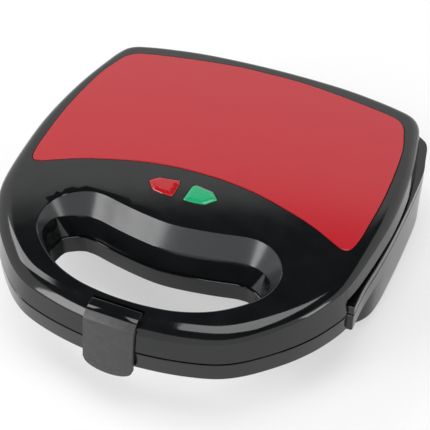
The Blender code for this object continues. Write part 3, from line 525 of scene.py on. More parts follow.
redLens = newMaterial("redLens", (0.38, 0.008, 0.012), 0.06)
greenLens = newMaterial("greenLens", (0.01, 0.32, 0.13), 0.06)
nonStick = newMaterial("nonStickCoat", (0.02, 0.02, 0.021), 0.42)
addTone(nonStick, (0.016, 0.016, 0.017), (0.030, 0.030, 0.031), 2400, 2.0)
addWear(nonStick, 0.34, 0.52, 160)
addGrain(nonStick, 1800, 0.15, 0.0002, 2.0)
steel = newMaterial("plainSteel", (0.55, 0.55, 0.56), 0.3, 1.0)
addWear(steel, 0.22, 0.38, 900)
sheetAluminium = newMaterial("sheetAluminium", (0.72, 0.72, 0.73), 0.3, 1.0)
addWear(sheetAluminium, 0.24, 0.40, 300, stretch=(1, 12, 1))
heaterSheath = newMaterial("heaterSheath", (0.20, 0.19, 0.18), 0.5, 1.0)
addTone(heaterSheath, (0.12, 0.10, 0.09), (0.26, 0.24, 0.22), 200)
ceramic = newMaterial("whiteCeramic", (0.80, 0.78, 0.74), 0.45)
addTone(ceramic, (0.76, 0.74, 0.70), (0.83, 0.81, 0.77), 400)
lampGlass = newMaterial("lampGlass", (0.85, 0.60, 0.45), 0.1)
addTone(lampGlass, (0.80, 0.50, 0.35), (0.88, 0.68, 0.52), 500)
footRubber = newMaterial("footRubber", (0.02, 0.02, 0.02), 0.8)
addTone(footRubber, (0.015, 0.015, 0.015), (0.028, 0.028, 0.028), 400)
addGrain(footRubber, 1500, 0.3, 0.0003, 2.0)
brownWire = newMaterial("brownWire", (0.12, 0.045, 0.02), 0.45)
addTone(brownWire, (0.10, 0.038, 0.017), (0.14, 0.055, 0.025), 900)
blueWire = newMaterial("blueWire", (0.02, 0.06, 0.25), 0.45)
addTone(blueWire, (0.015, 0.05, 0.21), (0.025, 0.075, 0.29), 900)

nodeMaterials = {
    "lid_handle_cover": mattBlack, "base_handle_cover": mattBlack, "bottom_cover": mattBlack,
    "cord_gland": mattBlack, "lamp_holder": satinGrey, "red_neon_lamp": lampGlass,
    "green_neon_lamp": lampGlass, "upper_cooking_plate": nonStick, "lower_cooking_plate": nonStick,
    "upper_heating_element": heaterSheath, "lower_heating_element": heaterSheath,
    "upper_heat_shield": sheetAluminium, "lower_heat_shield": sheetAluminium,
    "thermal_fuse": ceramic, "terminal_block": ceramic, "base_lead_left": blueWire,
    "lid_lead_left": blueWire, "base_lead_right": brownWire, "lid_lead_right": brownWire,
}
for name, node in nodes.items():
    material = nodeMaterials.get(name, footRubber if name.startswith("foot_") else steel)
    node.data.materials.clear()
    node.data.materials.append(material)
print("materials ready:", len(bpy.data.materials))


# Lid

lid = {
    "top": 0.069, "frontFall": 0.0084, "sideFall": 0.001, "apexDepth": 0.064,
    "creaseBack": 0.0635, "creaseFront": 0.055, "creaseFallStart": 0.1155,
    "filletSide": 0.006, "filletFront": 0.0105, "filletStart": math.radians(24), "filletSteps": 14,
    "draft": 0.0023, "skirtBottom": 0.054, "edgeRound": 0.0005, "spacing": 0.0035,
    "bedDepth": 0.001, "bedRound": 0.0003, "ceiling": 0.0032,
}
opening = {
    "dropBack": 0.0113, "dropFront": 0.0015, "insetBack": 0.0098, "insetFront": 0.0006,
    "throatBack": 0.0052, "throatFront": 0.0012, "rimRound": 0.0005, "ledge": 0.001,
}


def lidTop(points):
    ahead = (backY - lid["apexDepth"] - points[:, 1]) / (body["depth"] - lid["apexDepth"])
    beside = points[:, 0] / halfWidth
    return lid["top"] - lid["frontFall"] * ahead ** 2 - lid["sideFall"] * beside ** 2


def frontShare(points):
    start = backY - lid["creaseFallStart"]
    return np.clip((start - points[:, 1]) / (start - frontY), 0, 1)


def openingLevels(outline, grow=0.0):
    # the rim, the lower edge of the slope, and the throat at the lid's bottom
    normals = normalsOf(outline)
    back = ((1 + normals[:, 1]) / 2)[:, None]
    inset = opening["insetFront"] + (opening["insetBack"] - opening["insetFront"]) * back
    drop = opening["dropFront"] + (opening["dropBack"] - opening["dropFront"]) * back
    throat = inset + opening["throatFront"] + (opening["throatBack"] - opening["throatFront"]) * back
    surface = lidTop(outline)[:, None]
    rim = np.hstack([outline + normals * grow, surface])
    slope = np.hstack([outline + normals * (grow - inset), surface - drop])
    foot = np.hstack([outline + normals * (grow - throat), np.full_like(surface, lidBottom)])
    return rim, slope, foot


latch = {
    "width": 0.0294, "sheet": 0.0022, "cheek": 0.0036, "pocketLength": 0.0151, "pocketFloor": 0.053,
    "skirtNotch": 0.0029, "leafEnd": 0.0129, "leafHeight": 0.063, "bendStart": 0.006, "bendHeight": 0.062,
    "faceStart": 0.0012, "faceHeight": 0.0582, "faceBottom": 0.0324, "tabBottom": 0.0262, "standOut": 0.0044,
    "pivotLength": 0.0062, "pivotHeight": 0.0563, "bossRadius": 0.0026, "hookWidth": 0.021,
    "hookReach": 0.0064, "hookTop": 0.0318, "hookSheet": 0.0024, "round": 0.0002, "glossStart": 0.0052,
}
lens = {
    "offset": 0.0045, "depth": 0.1367, "gap": 0.0066, "width": 0.0183, "length": 0.0135,
    "pitDepth": 0.003, "proud": 0.0007, "bevel": 0.0011,
    "shares": ((0.50, -0.50), (0.48, 0.34), (0.42, 0.50), (-0.26, 0.36), (-0.50, 0.03),
               (-0.22, -0.42), (0.12, -0.49)),
}


def lensOutline(side):
    # the left lens has its straight edge on the right; the right lens is its mirror image
    middle = np.array((-lens["offset"] + side * (lens["gap"] + lens["width"]) / 2, backY - lens["depth"]))
    outline = middle + np.array([(-side * lens["width"] * u, lens["length"] * v) for u, v in lens["shares"]])
    outline = outline if side < 0 else outline[::-1]
    return softened(evenly(outline, 0.0003), 0.0005)


def crispAt(outline, y, half=0.00005):
    # the two points on either side of a crossing move close to it, for a sharp step
    outline = outline.copy()
    for i in range(len(outline)):
        j = (i + 1) % len(outline)
        if (outline[i, 1] > y) != (outline[j, 1] > y):
            share = (y - outline[i, 1]) / (outline[j, 1] - outline[i, 1])
            crossing = outline[i] + (outline[j] - outline[i]) * share
            along = (outline[j] - outline[i]) / np.linalg.norm(outline[j] - outline[i])
            outline[i], outline[j] = crossing - along * half, crossing + along * half
    return outline


lidOutline = crispAt(fineOutline(lidShares), stepY)
openingOutline = fineOutline(openingShares, 0.001, 0.0025)
coverOutline = fineOutline(coverShares, 0.001, 0.0015)


def makeLidShell():
    draft = Draft()
    share = frontShare(lidOutline)
    crease = lid["creaseBack"] + (lid["creaseFront"] - lid["creaseBack"]) * share ** 2
    width = lid["filletSide"] + (lid["filletFront"] - lid["filletSide"]) * share
    bottom = np.where(lidOutline[:, 1] > stepY, lid["skirtBottom"], lidBottom)
    seam = grown(lidOutline, lid["draft"])
    fade = (bottom - lidBottom) / (crease - lidBottom)
    low = seam + (lidOutline - seam) * fade[:, None]
    edge = lid["edgeRound"]
    inner = grown(lidOutline, -wall)
    rings = [draft.ring(atHeight(inner, crease - wall)), draft.ring(atHeight(inner, bottom)),
             draft.ring(atHeight(grown(low, -edge), bottom)),
             draft.ring(atHeight(grown(low, -edge * 0.3), bottom + edge * 0.3)),
             draft.ring(atHeight(low, bottom + edge))]
    start = lid["filletStart"]
    for step in range(lid["filletSteps"] + 1):
        angle = start + (math.pi / 2 - start) * step / lid["filletSteps"]
        across = (math.cos(start) - math.cos(angle)) / math.cos(start)
        rise = (math.sin(angle) - math.sin(start)) / (1 - math.sin(start))
        ring = grown(lidOutline, -width * across)
        rings.append(draft.ring(atHeight(ring, crease + (lidTop(ring) - crease) * rise)))
    draft.skins(rings)

    # finger opening: a small round at the rim, the satin slope, and the throat
    rim, slope, foot = openingLevels(openingOutline)
    r = opening["rimRound"]
    down = (slope - rim) / np.linalg.norm(slope - rim, axis=1)[:, None]
    outwards = np.hstack([normalsOf(openingOutline), np.zeros((len(rim), 1))])
    below = (foot - slope) / np.linalg.norm(foot - slope, axis=1)[:, None]
    lip = draft.ring(rim + outwards * r)
    lipMiddle = draft.ring(rim + (outwards * r + down * r) * 0.28)
    slopeTop = draft.ring(rim + down * r)
    slopeLow = draft.ring(slope - down * r * 0.6)
    slopeEnd = draft.ring(slope + (below - down) * r * 0.16)
    throatTop = draft.ring(slope + below * r * 0.6)
    throatLow = draft.ring(foot)
    draft.skins([lip, lipMiddle, slopeTop])
    draft.skins([slopeTop, slopeLow], 1)
    draft.skins([slopeLow, slopeEnd, throatTop, throatLow])

    # outer side of the throat and the ceiling
    outerFoot = draft.ring(openingLevels(openingOutline, wall)[2])
    outerTop = openingLevels(openingOutline, wall)[1]
    outerTop[:, 2] = np.minimum(outerTop[:, 2], lidTop(outerTop) - lid["ceiling"])
    plugTop = draft.ring(outerTop)
    draft.skins([throatLow, outerFoot, plugTop])
    draft.cap(rings[0], [plugTop], lambda p: lidTop(p) - lid["ceiling"], 0.01)

    # bed of the cover plate
    bed = grown(coverOutline, clearance)
    bedLip = draft.ring(atHeight(grown(bed, lid["bedRound"]), lidTop(bed)))
    bedEdge = draft.ring(atHeight(bed, lidTop(bed) - lid["bedRound"]))
    bedFloor = draft.ring(atHeight(bed, lidTop(bed) - lid["bedDepth"]))
    draft.skins([bedLip, bedEdge, bedFloor])
    draft.cap(bedFloor, [], lambda p: lidTop(p) - lid["bedDepth"], 0.008)

    # pits for the lenses
    pits = []
    for side in (-1, 1):
        pit = grown(lensOutline(side), clearance)
        mouth = draft.ring(atHeight(grown(pit, 0.0002), lidTop(pit)))
        edgeRing = draft.ring(atHeight(pit, lidTop(pit) - 0.0002))
        floorRing = draft.ring(atHeight(pit, lidTop(pit) - lens["pitDepth"]))
        draft.skins([mouth, edgeRing, floorRing])
        draft.cap(floorRing)
        pits.append(mouth)

    draft.cap(rings[-1], [lip, bedLip, *pits], lidTop, lid["spacing"])
    shell = draft.build("lidShell", [glossBlack, satinSlope])
    half = latch["width"] / 2 + clearance
    block = boxDraft((-half - latch["cheek"], frontY - 0.002, lidBottom + 0.0028),
                     (half + latch["cheek"], frontY + latch["pocketLength"] + 0.0015,
                       0.08)).build("block", [])
    cut(block, makeLidCore(), "INTERSECT")
    cut(shell, block, "UNION")
    cut(shell, boxDraft((-half, frontY - 0.002, latch["pocketFloor"]),
                        (half, frontY + latch["pocketLength"], 0.08)).build("pocket", []))
    cut(shell, boxDraft((-half, frontY - 0.002, 0.03),
                        (half, frontY + latch["skirtNotch"],
                          latch["pocketFloor"] + 0.001)).build("notch", []))
    shell.data.shade_smooth()
    shell.data.set_sharp_from_angle(angle=math.radians(13))
    return shell


def makeLidCore():
    # the lid's form a little inside its skin, solid
    draft = Draft()
    share = frontShare(lidOutline)
    crease = lid["creaseBack"] + (lid["creaseFront"] - lid["creaseBack"]) * share ** 2
    width = lid["filletSide"] + (lid["filletFront"] - lid["filletSide"]) * share
    deep = wall / 2
    rings = [draft.ring(atHeight(grown(lidOutline, -deep), lidBottom)),
             draft.ring(atHeight(grown(lidOutline, -deep), crease - deep))]
    for angle in (40, 60, 90):
        across = 1 - math.cos(math.radians(angle)) / math.cos(lid["filletStart"])
        startSine = math.sin(lid["filletStart"])
        rise = (math.sin(math.radians(angle)) - startSine) / (1 - startSine)
        ring = grown(lidOutline, -width * across - deep)
        rings.append(draft.ring(atHeight(ring, crease + (lidTop(ring) - crease) * rise - deep)))
    draft.skins(rings)
    draft.cap(rings[0])
    draft.cap(rings[-1], [], lambda p: lidTop(p) - deep, 0.008)
    return draft.build("core", [])


lidShell = makeLidShell()
print("lid shell:", len(lidShell.data.polygons), "faces")
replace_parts(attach(lidShell, "lid"), "lid_shell")


# Cover plate

def makeCoverPlate():
    draft = Draft()
    proud, thick, edge = 0.0003, 0.001, 0.00035
    levels = [(-edge, proud - thick), (0, proud - thick + edge), (0, proud - edge),
              (-edge * 0.3, proud - edge * 0.3), (-edge, proud)]
    rings = []
    for grow, above in levels:
        ring = grown(coverOutline, grow)
        rings.append(draft.ring(atHeight(ring, lidTop(ring) + above)))
    draft.skins(rings)
    draft.cap(rings[0], [], lambda p: lidTop(p) + proud - thick, 0.006)
    draft.cap(rings[-1], [], lambda p: lidTop(p) + proud, 0.003)
    return draft.build("coverPlate", [redEnamel], 20)


coverPlate = makeCoverPlate()
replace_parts(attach(coverPlate, "lid"), "cover_plate")
print("cover plate:", len(coverPlate.data.polygons), "faces")


# Lid frame: the rim under the lid, with the upper plate's bed

frameSizes = {
    "rimTop": 0.050, "upstandGap": 0.001, "upstandWall": 0.0016, "upstandTop": 0.060, "edge": 0.0005,
    "plateHalf": 0.102, "plateBack": 0.015, "plateLength": 0.120, "plateCorner": 0.010,
    "flange": 0.003, "flangeWidth": 0.0035,
}
hinge = {"x": 0.050, "knuckle": 0.0045, "length": 0.012, "ear": 0.004, "bore": 0.0017}


def plateRing(shrink):
    half = frameSizes["plateHalf"] - shrink
    high = backY - frameSizes["plateBack"] - shrink
    low = backY - frameSizes["plateBack"] - frameSizes["plateLength"] + shrink
    corners = [(half, low), (half, high), (-half, high), (-half, low)]
    return roundedCorners(corners, frameSizes["plateCorner"], 8)


def frontEdge():
    # the frame's front edge steps back round the throat of the finger opening
    throat = openingLevels(openingOutline, wall + clearance)[2]
    xs = np.linspace(0.104, -0.104, 209)
    ys = np.full(len(xs), stepY + clearance)
    behind = throat[throat[:, 1] > np.median(throat[:, 1])]
    order = np.argsort(behind[:, 0])
    near = np.interp(xs, behind[order, 0], behind[order, 1], left=-1, right=-1)
    return np.column_stack([xs, np.maximum(ys, near)])


def makeLidFrame():
    half = halfCurve(bodyShares)
    side = half[half[:, 1] > stepY + clearance]
    outline = np.vstack([side[::-1], side[1:] * (-1, 1)])
    corner = np.array([(np.interp(stepY, half[::-1, 1], half[::-1, 0]), stepY + clearance)])
    edge = frontEdge()[::-1]
    outline = np.vstack([corner, outline, corner * (-1, 1), edge])
    outline = softened(evenly(outline, 0.0008), 0.0005)
    draft = Draft()
    levels = roundedLevels(lidBottom, frameSizes["rimTop"], frameSizes["edge"])
    rings = [draft.ring(atHeight(grown(outline, grow), z)) for grow, z in levels]
    draft.skins(rings)
    bed, window = plateRing(-clearance), plateRing(frameSizes["flangeWidth"] - clearance)
    ledge = lidBottom + frameSizes["flange"] + clearance
    bedLow = draft.ring(atHeight(bed, lidBottom))
    bedHigh = draft.ring(atHeight(bed, ledge))
    windowLow = draft.ring(atHeight(window, ledge))
    windowHigh = draft.ring(atHeight(window, frameSizes["rimTop"]))
    draft.skins([bedLow, bedHigh])
    draft.skins([windowLow, windowHigh])
    draft.cap(bedHigh, [windowLow])
    draft.cap(rings[0], [bedLow])
    draft.cap(rings[-1], [windowHigh])
    piece = draft.build("lidFrame", [glossBlack])

    outer = grown(lidOutline, -wall - frameSizes["upstandGap"])
    inner = grown(lidOutline, -wall - frameSizes["upstandGap"] - frameSizes["upstandWall"])
    keep = outer[:, 1] > stepY + 0.002
    start = int(np.argmax(keep & ~np.roll(keep, 1)))
    order = [i % len(outer) for i in range(start, start + int(keep.sum()))]
    band = np.vstack([outer[order], inner[order][::-1]])
    wallDraft = Draft()
    low = wallDraft.ring(atHeight(band, frameSizes["rimTop"] - 0.001))
    high = wallDraft.ring(atHeight(band, frameSizes["upstandTop"]))
    wallDraft.skins([low, high])
    wallDraft.cap(low)
    wallDraft.cap(high)
    joinedTo(piece, wallDraft.build("upstand", []))
    ears = hinge["length"] / 2 + clearance + hinge["ear"] / 2
    for side in (-1, 1):
        centre = (side * hinge["x"], backY, 0.044)
        for x in (-ears, ears):
            cut(piece, turnedRing(0.0001, hinge["knuckle"] + 2 * clearance, hinge["ear"] + 3 * clearance,
                                  (centre[0] + x, centre[1], centre[2])).build("room", []))
    for x, depth in ((0.02496, 0.0107), (0.060, 0.1475)):
        for side in (-1, 1):
            hole = circle(0.0027) + (side * x, backY - depth)
            cut(piece, pushed(hole, [(0, 0.04), (0, lidBottom + 0.0018)], atHeight).build("hole", []))
    rings = [turnedRing(hinge["bore"], hinge["knuckle"], hinge["length"], (side * hinge["x"], backY, 0.044))
             .build("knuckle", []) for side in (-1, 1)]
    joinedTo(piece, *rings)
    piece.data.shade_smooth()
    piece.data.set_sharp_from_angle(angle=math.radians(13))
    return piece


lidFrame = makeLidFrame()
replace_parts(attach(lidFrame, "lid"), "lid_frame")
print("lid frame:", len(lidFrame.data.polygons), "faces")


# Base

base = {
    "bandBottom": 0.0324, "deckUnderside": 0.0379, "footHeight": 0.0062, "panFillet": 0.004,
    "panStep": 0.0002, "panLip": 0.0065, "edge": 0.0005, "bandEdge": 0.0007, "latchNotch": 0.0013,
    "glandHeight": 0.0215, "glandHole": 0.0065,
}


def bandOutlinePoints():
    half = halfCurve(bodyShares)
    side = half[half[:, 1] > stepY]
    corner = np.array([(np.interp(stepY, half[::-1, 1], half[::-1, 0]), stepY)])
    seam = grown(lidOutline, lid["draft"])
    front = seam[(seam[:, 1] < stepY) & (seam[:, 0] >= 0)]
    front = front[np.argsort(front[:, 1])[::-1]]
    inner = np.array([(front[0, 0], stepY)])
    outline = np.vstack([side, corner, inner, front])
    whole = np.vstack([outline[::-1], outline[outline[:, 0] > 1e-9] * (-1, 1)])
    return softened(evenly(whole, 0.0008), 0.0006)


def makeBand():
    outline = bandOutlinePoints()
    draft = Draft()
    low, high = base["bandBottom"], baseTop
    e, b = base["edge"], base["bandEdge"]
    levels = [(-b, low), (-b * 0.3, low + b * 0.3), (0, low + b),
              (0, high - e), (-e * 0.3, high - e * 0.3), (-e, high)]
    rings = [draft.ring(atHeight(grown(outline, grow), z)) for grow, z in levels]
    draft.skins(rings)
    inner = grown(softened(outline, 0.003), -wall)
    innerLow = draft.ring(atHeight(inner, low))
    innerHigh = draft.ring(atHeight(inner, base["deckUnderside"]))
    draft.skins([rings[0], innerLow, innerHigh])

    throat = openingLevels(openingOutline, -opening["ledge"])[2][:, :2]
    r = 0.0004
    top = draft.ring(atHeight(grown(throat, r), high))
    mid = draft.ring(atHeight(grown(throat, r * 0.3), high - r * 0.3))
    under = draft.ring(atHeight(throat, high - r))
    foot = draft.ring(atHeight(throat, low))
    outFoot = draft.ring(atHeight(grown(throat, wall), low))
    outHigh = draft.ring(atHeight(grown(throat, wall), base["deckUnderside"]))
    draft.skins([top, mid, under, foot, outFoot, outHigh])

    bed, window = plateRing(-clearance), plateRing(frameSizes["flangeWidth"] - clearance)
    ledge = high - frameSizes["flange"] - clearance
    bedHigh = draft.ring(atHeight(bed, high))
    bedLow = draft.ring(atHeight(bed, ledge))
    windowHigh = draft.ring(atHeight(window, ledge))
    windowLow = draft.ring(atHeight(window, base["deckUnderside"]))
    draft.skins([bedHigh, bedLow])
    draft.skins([windowHigh, windowLow])
    draft.cap(bedLow, [windowHigh])
    draft.cap(rings[-1], [top, bedHigh])
    draft.cap(innerHigh, [outHigh, windowLow])
    return draft.build("baseShell", [glossBlack])


def makePan():
    outline = softened(evenly(mirrored(halfCurve(panShares)), 0.0012), 0.0025)
    draft = Draft()
    foot, fillet, step = base["footHeight"], base["panFillet"], base["panStep"]
    levels = [(-base["panLip"], foot + fillet), (-base["panLip"], foot)]
    for turn in np.linspace(0, math.pi / 2, 8):
        levels.append((-step - fillet * (1 - math.sin(turn)), foot + fillet * (1 - math.cos(turn))))
    top = base["deckUnderside"] + 0.001
    levels += [(-step, top), (-step - wall, top), (-step - wall, foot + fillet)]
    rings = [draft.ring(atHeight(grown(outline, grow), z)) for grow, z in levels]
    draft.skins(rings + [rings[0]])
    return draft.build("pan", [glossBlack])


def makeBaseShell():
    shell = makeBand()
    half = latch["width"] / 2 + clearance
    cut(shell, boxDraft((-half, frontY - 0.002, 0.02),
                        (half, frontY + base["latchNotch"], 0.06)).build("notch", []))
    for side in (-1, 1):
        centre = (side * hinge["x"], backY, 0.044)
        cut(shell, turnedRing(0.0001, hinge["knuckle"] + 2 * clearance, hinge["length"] + 3 * clearance,
                              centre).build("room", []))
    pan = makePan()
    hole = pushed(circle(base["glandHole"]), [(0, backY - 0.02), (0, backY + 0.02)],
                  lambda ring, y: np.column_stack([ring[:, 0], np.full(len(ring), y),
                                                    base["glandHeight"] + ring[:, 1]]),
                  (0, 2)).build("hole", [])
    cut(pan, hole)
    ears = hinge["length"] / 2 + clearance + hinge["ear"] / 2
    rings = [turnedRing(hinge["bore"], hinge["knuckle"], hinge["ear"], (side * hinge["x"] + x, backY, 0.044))
             .build("ear", []) for side in (-1, 1) for x in (-ears, ears)]
    joinedTo(shell, pan, *rings)
    shell.data.shade_smooth()
    shell.data.set_sharp_from_angle(angle=math.radians(13))
    return shell


baseShell = makeBaseShell()
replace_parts(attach(baseShell, "base"), "base_shell")
print("base shell:", len(baseShell.data.polygons), "faces")


# Latch

def latchFaceY(height):
    lean = (latch["faceStart"] + latch["standOut"]) / (latch["faceHeight"] - latch["tabBottom"])
    return frontY + latch["faceStart"] - (latch["faceHeight"] - height) * lean


def makeLatch():
    s = latch["sheet"]
    half = latch["width"] / 2
    leafEnd = frontY + latch["leafEnd"]
    boss = latch["bossRadius"]
    pivot = np.array((frontY + latch["pivotLength"], latch["pivotHeight"]))
    bossLow = pivot[1] - boss
    turn = np.linspace(-math.pi * 5 / 6, 0, 9)
    arc = [tuple(pivot + boss * np.array((math.cos(a), math.sin(a)))) for a in turn]
    outer = [(leafEnd, latch["leafHeight"]), (frontY + latch["bendStart"], latch["bendHeight"]),
             (frontY + latch["faceStart"], latch["faceHeight"]),
              (latchFaceY(latch["faceBottom"]), latch["faceBottom"])]
    inner = [(latchFaceY(latch["faceBottom"]) + s, latch["faceBottom"]), (latchFaceY(bossLow) + s, bossLow)]
    tail = [(pivot[0] + boss, latch["bendHeight"] - s), (leafEnd, latch["leafHeight"] - s)]
    corners = outer + inner + arc + tail
    radii = [0.0004, 0.0016, 0.0012, 0.0, 0.0, 0.0] + [0.0] * len(arc) + [0.0006, 0.0004]
    profile = softened(evenly(roundedCorners(corners, radii), 0.0002), 0.0004)
    piece = bar(profile, -half, half, latch["round"]).build("latchPlate", [satinGrey, glossBlack])

    steps = np.linspace(0, math.pi, 25)
    width = half - 0.0002
    edge = [(width * math.cos(a),
             latch["faceBottom"] - (latch["faceBottom"] - latch["tabBottom"]) * math.sin(a))
            for a in steps]
    corners = np.array([(width, latch["faceBottom"] + s), *edge, (-width, latch["faceBottom"] + s)])[::-1]
    outline = softened(evenly(corners, 0.0004), 0.0007)
    tab = pushed(outline, roundedLevels(0.0002, s - 0.0002, 0.0003),
                 lambda ring, depth: np.column_stack([ring[:, 0], [latchFaceY(z) + depth for z in ring[:, 1]],
                                                      ring[:, 1]]),
                 (0, 2)).build("tab", [])
    low = latch["hookTop"] - latch["hookSheet"]
    near = latchFaceY(latch["hookTop"]) + s / 2
    hookProfile = roundedCorners([(near, low), (frontY + latch["hookReach"], low),
                                  (frontY + latch["hookReach"], latch["hookTop"]), (near, latch["hookTop"])],
                                 [0, 0.0008, 0.0008, 0])
    hookProfile = softened(evenly(hookProfile[::-1], 0.0002), 0.0004)
    hook = bar(hookProfile, -latch["hookWidth"] / 2, latch["hookWidth"] / 2, 0.0002).build("hook", [])
    joinedTo(piece, tab, hook)
    for face in piece.data.polygons:
        if face.center[1] > frontY + latch["glossStart"]:
            face.material_index = 1
    piece.name = "frontLatch"
    return piece


frontLatch = makeLatch()
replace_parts(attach(frontLatch, "latch"), "latch")
print("latch:", len(frontLatch.data.polygons), "faces")


# Cooking plates: a fine grid, its corners rounded and its four pockets sunk by rule

plate = {
    "halfWidth": 0.102, "halfLength": 0.060, "backDepth": 0.015, "corner": 0.010, "margin": 0.007,
    "ridge": 0.006, "slope": 0.0045, "depth": 0.0072, "cornerRound": 0.0035, "sheet": 0.003,
    "floorSheet": 0.0003, "rimRound": 0.0007, "columns": 273, "rows": 161,
}


def plateTree(up):
    s = Shape("cookingPlate", {
        "Half Width": plate["halfWidth"], "Half Length": plate["halfLength"], "Corner": plate["corner"],
        "Margin": plate["margin"], "Ridge": plate["ridge"], "Slope": plate["slope"], "Depth": plate["depth"],
        "Corner Round": plate["cornerRound"], "Sheet": plate["sheet"], "Floor Sheet": plate["floorSheet"],
        "Rim Round": plate["rimRound"], "Up": float(up), "Material": nonStick})
    width, length, corner = s["Half Width"], s["Half Length"], s["Corner"]
    grid = s.node("GeometryNodeMeshGrid", {
        "Size X": s.sum("MULTIPLY", width, 2.0), "Size Y": s.sum("MULTIPLY", length, 2.0),
        "Vertices X": plate["columns"], "Vertices Y": plate["rows"]}).outputs["Mesh"]

    # square corners drawn in to quarter circles
    x, y, _ = s.place()
    overX = s.sum("MAXIMUM", s.sum("SUBTRACT", s.sum("ABSOLUTE", x), s.sum("SUBTRACT", width, corner)), 0.0)
    overY = s.sum("MAXIMUM", s.sum("SUBTRACT", s.sum("ABSOLUTE", y), s.sum("SUBTRACT", length, corner)), 0.0)
    squares = s.sum("ADD", s.sum("MULTIPLY", overX, overX), s.sum("MULTIPLY", overY, overY))
    long = s.sum("MAXIMUM", s.sum("SQRT", squares), 0.0000001)
    pull = s.sum("SUBTRACT", 1.0, s.sum("DIVIDE", s.sum("MAXIMUM", overX, overY), long))
    backX = s.sum("MULTIPLY", s.sum("MULTIPLY", overX, pull), s.sum("SIGN", x))
    backY = s.sum("MULTIPLY", s.sum("MULTIPLY", overY, pull), s.sum("SIGN", y))
    round = s.moved(grid, s.sum("SUBTRACT", x, backX), s.sum("SUBTRACT", y, backY), 0.0)

    # how far a point lies inside its pocket: from the middle ridge, the margins and the diagonal ridge
    x, y, _ = s.place()
    half = s.sum("MULTIPLY", s["Ridge"], 0.5)
    wide, far = s.sum("SUBTRACT", width, s["Margin"]), s.sum("SUBTRACT", length, s["Margin"])
    across = s.sum("SUBTRACT", s.sum("ABSOLUTE", x), half)
    along = s.sum("ADD", y, far)
    reachX, reachY = s.sum("SUBTRACT", wide, half), s.sum("MULTIPLY", far, 2.0)
    slant = s.sum("SQRT", s.sum("ADD", s.sum("MULTIPLY", reachX, reachX), s.sum("MULTIPLY", reachY, reachY)))
    cross = s.sum("SUBTRACT", s.sum("MULTIPLY", across, reachY), s.sum("MULTIPLY", along, reachX))
    diagonal = s.sum("SUBTRACT", s.sum("ABSOLUTE", s.sum("DIVIDE", cross, slant)), half)
    depth = across
    for edge in (s.sum("SUBTRACT", reachX, across), along, s.sum("SUBTRACT", reachY, along), diagonal):
        depth = s.sum("SMOOTH_MIN", depth, edge, s["Corner Round"])
    sunk = s.node("ShaderNodeMapRange", {"Value": depth, "From Min": 0.0, "From Max": s["Slope"],
                                         "To Min": 0.0,
                                         "To Max": 1.0}, interpolation_type="SMOOTHSTEP").outputs[0]
    rimX = s.sum("SUBTRACT", width, s.sum("ABSOLUTE", x))
    rimY = s.sum("SUBTRACT", length, s.sum("ABSOLUTE", y))
    rim = s.node("ShaderNodeMapRange", {"Value": s.sum("MINIMUM", rimX, rimY), "From Min": 0.0,
                                        "From Max": s["Rim Round"],
                                        "To Min": s.sum("MULTIPLY", s["Rim Round"], 0.4),
                                        "To Max": 0.0}, interpolation_type="SMOOTHSTEP").outputs[0]
    low = s.sum("MULTIPLY", s.sum("ADD", s.sum("MULTIPLY", sunk, s["Depth"]), rim),
                s.sum("MULTIPLY", s["Up"], -1.0))
    face = s.moved(round, x, y, low)

    # the back follows the pockets one sheet behind
    behind = s.sum("MULTIPLY", s.sum("ADD", s["Sheet"], s.sum("MULTIPLY", sunk, s["Floor Sheet"])),
                   s.sum("MULTIPLY", s["Up"], -1.0))
    back = s.node("GeometryNodeExtrudeMesh", {"Mesh": face, "Offset": s.vector(0.0, 0.0, behind),
                                              "Offset Scale": 1.0, "Individual": False}).outputs["Mesh"]
    both = s.node("GeometryNodeMergeByDistance", {"Geometry": s.joined(face, back),
                                                  "Distance": 0.000002}).outputs[0]
    return s.close(s.node("GeometryNodeTransform", {"Geometry": both, "Translation": (
        0, body["backY"] - plate["backDepth"] - plate["halfLength"],
        baseTop if up > 0 else lidBottom)}).outputs[0])


for name, up, owner in (("lower", 1, "base"), ("upper", -1, "lid")):
    piece = plateTree(up).made(name + "Plate", [(0, 0, 0)])
    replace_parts(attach(piece, owner), name + "_cooking_plate")
print("cooking plates ready")


# Heating rods and leads: a path with rounded corners, and a round swept along it

tubes = {
    "rodRadius": 0.0026, "rodBend": 0.012, "rodInset": 0.024, "tailSpread": 0.020, "tailInset": 0.009,
    "leadRadius": 0.0011, "leadBend": 0.0035, "lowerHeight": 0.0302, "upperHeight": 0.0578,
    "blockSide": 0.0075, "blockDepth": 0.0297, "blockHeight": 0.015,
    "baseLeadGap": 0.0042, "lidLeadGap": 0.0027,
    "edgeSide": 0.0865, "lampSide": 0.02285, "lampShift": 0.0045, "lampDepthShare": 0.5696,
}


def tubeTree(radius, bend, material):
    s = Shape("bentRod", {"Radius": radius, "Bend": bend, "Sides": 20, "Bend Points": 10,
                          "Material": material})
    path = s.node("GeometryNodeMeshToCurve", {"Mesh": s["Geometry"]}).outputs[0]
    soft = s.node("GeometryNodeFilletCurve", {"Curve": path, "Radius": s["Bend"], "Count": s["Bend Points"],
                                              "Limit Radius": True}, mode="POLY").outputs[0]
    section = s.node("GeometryNodeCurvePrimitiveCircle", {"Resolution": s["Sides"],
                                                          "Radius": s["Radius"]}).outputs[0]
    skin = s.node("GeometryNodeCurveToMesh", {"Curve": soft, "Profile Curve": section,
                                              "Fill Caps": True}).outputs[0]
    return s.close(skin)


def sweptTube(name, path, radius, bend, material, owner, node):
    edges = [(i, i + 1) for i in range(len(path) - 1)]
    piece = tubeTree(radius, bend, material).made(name, path, edges, 50)
    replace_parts(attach(piece, owner), node)


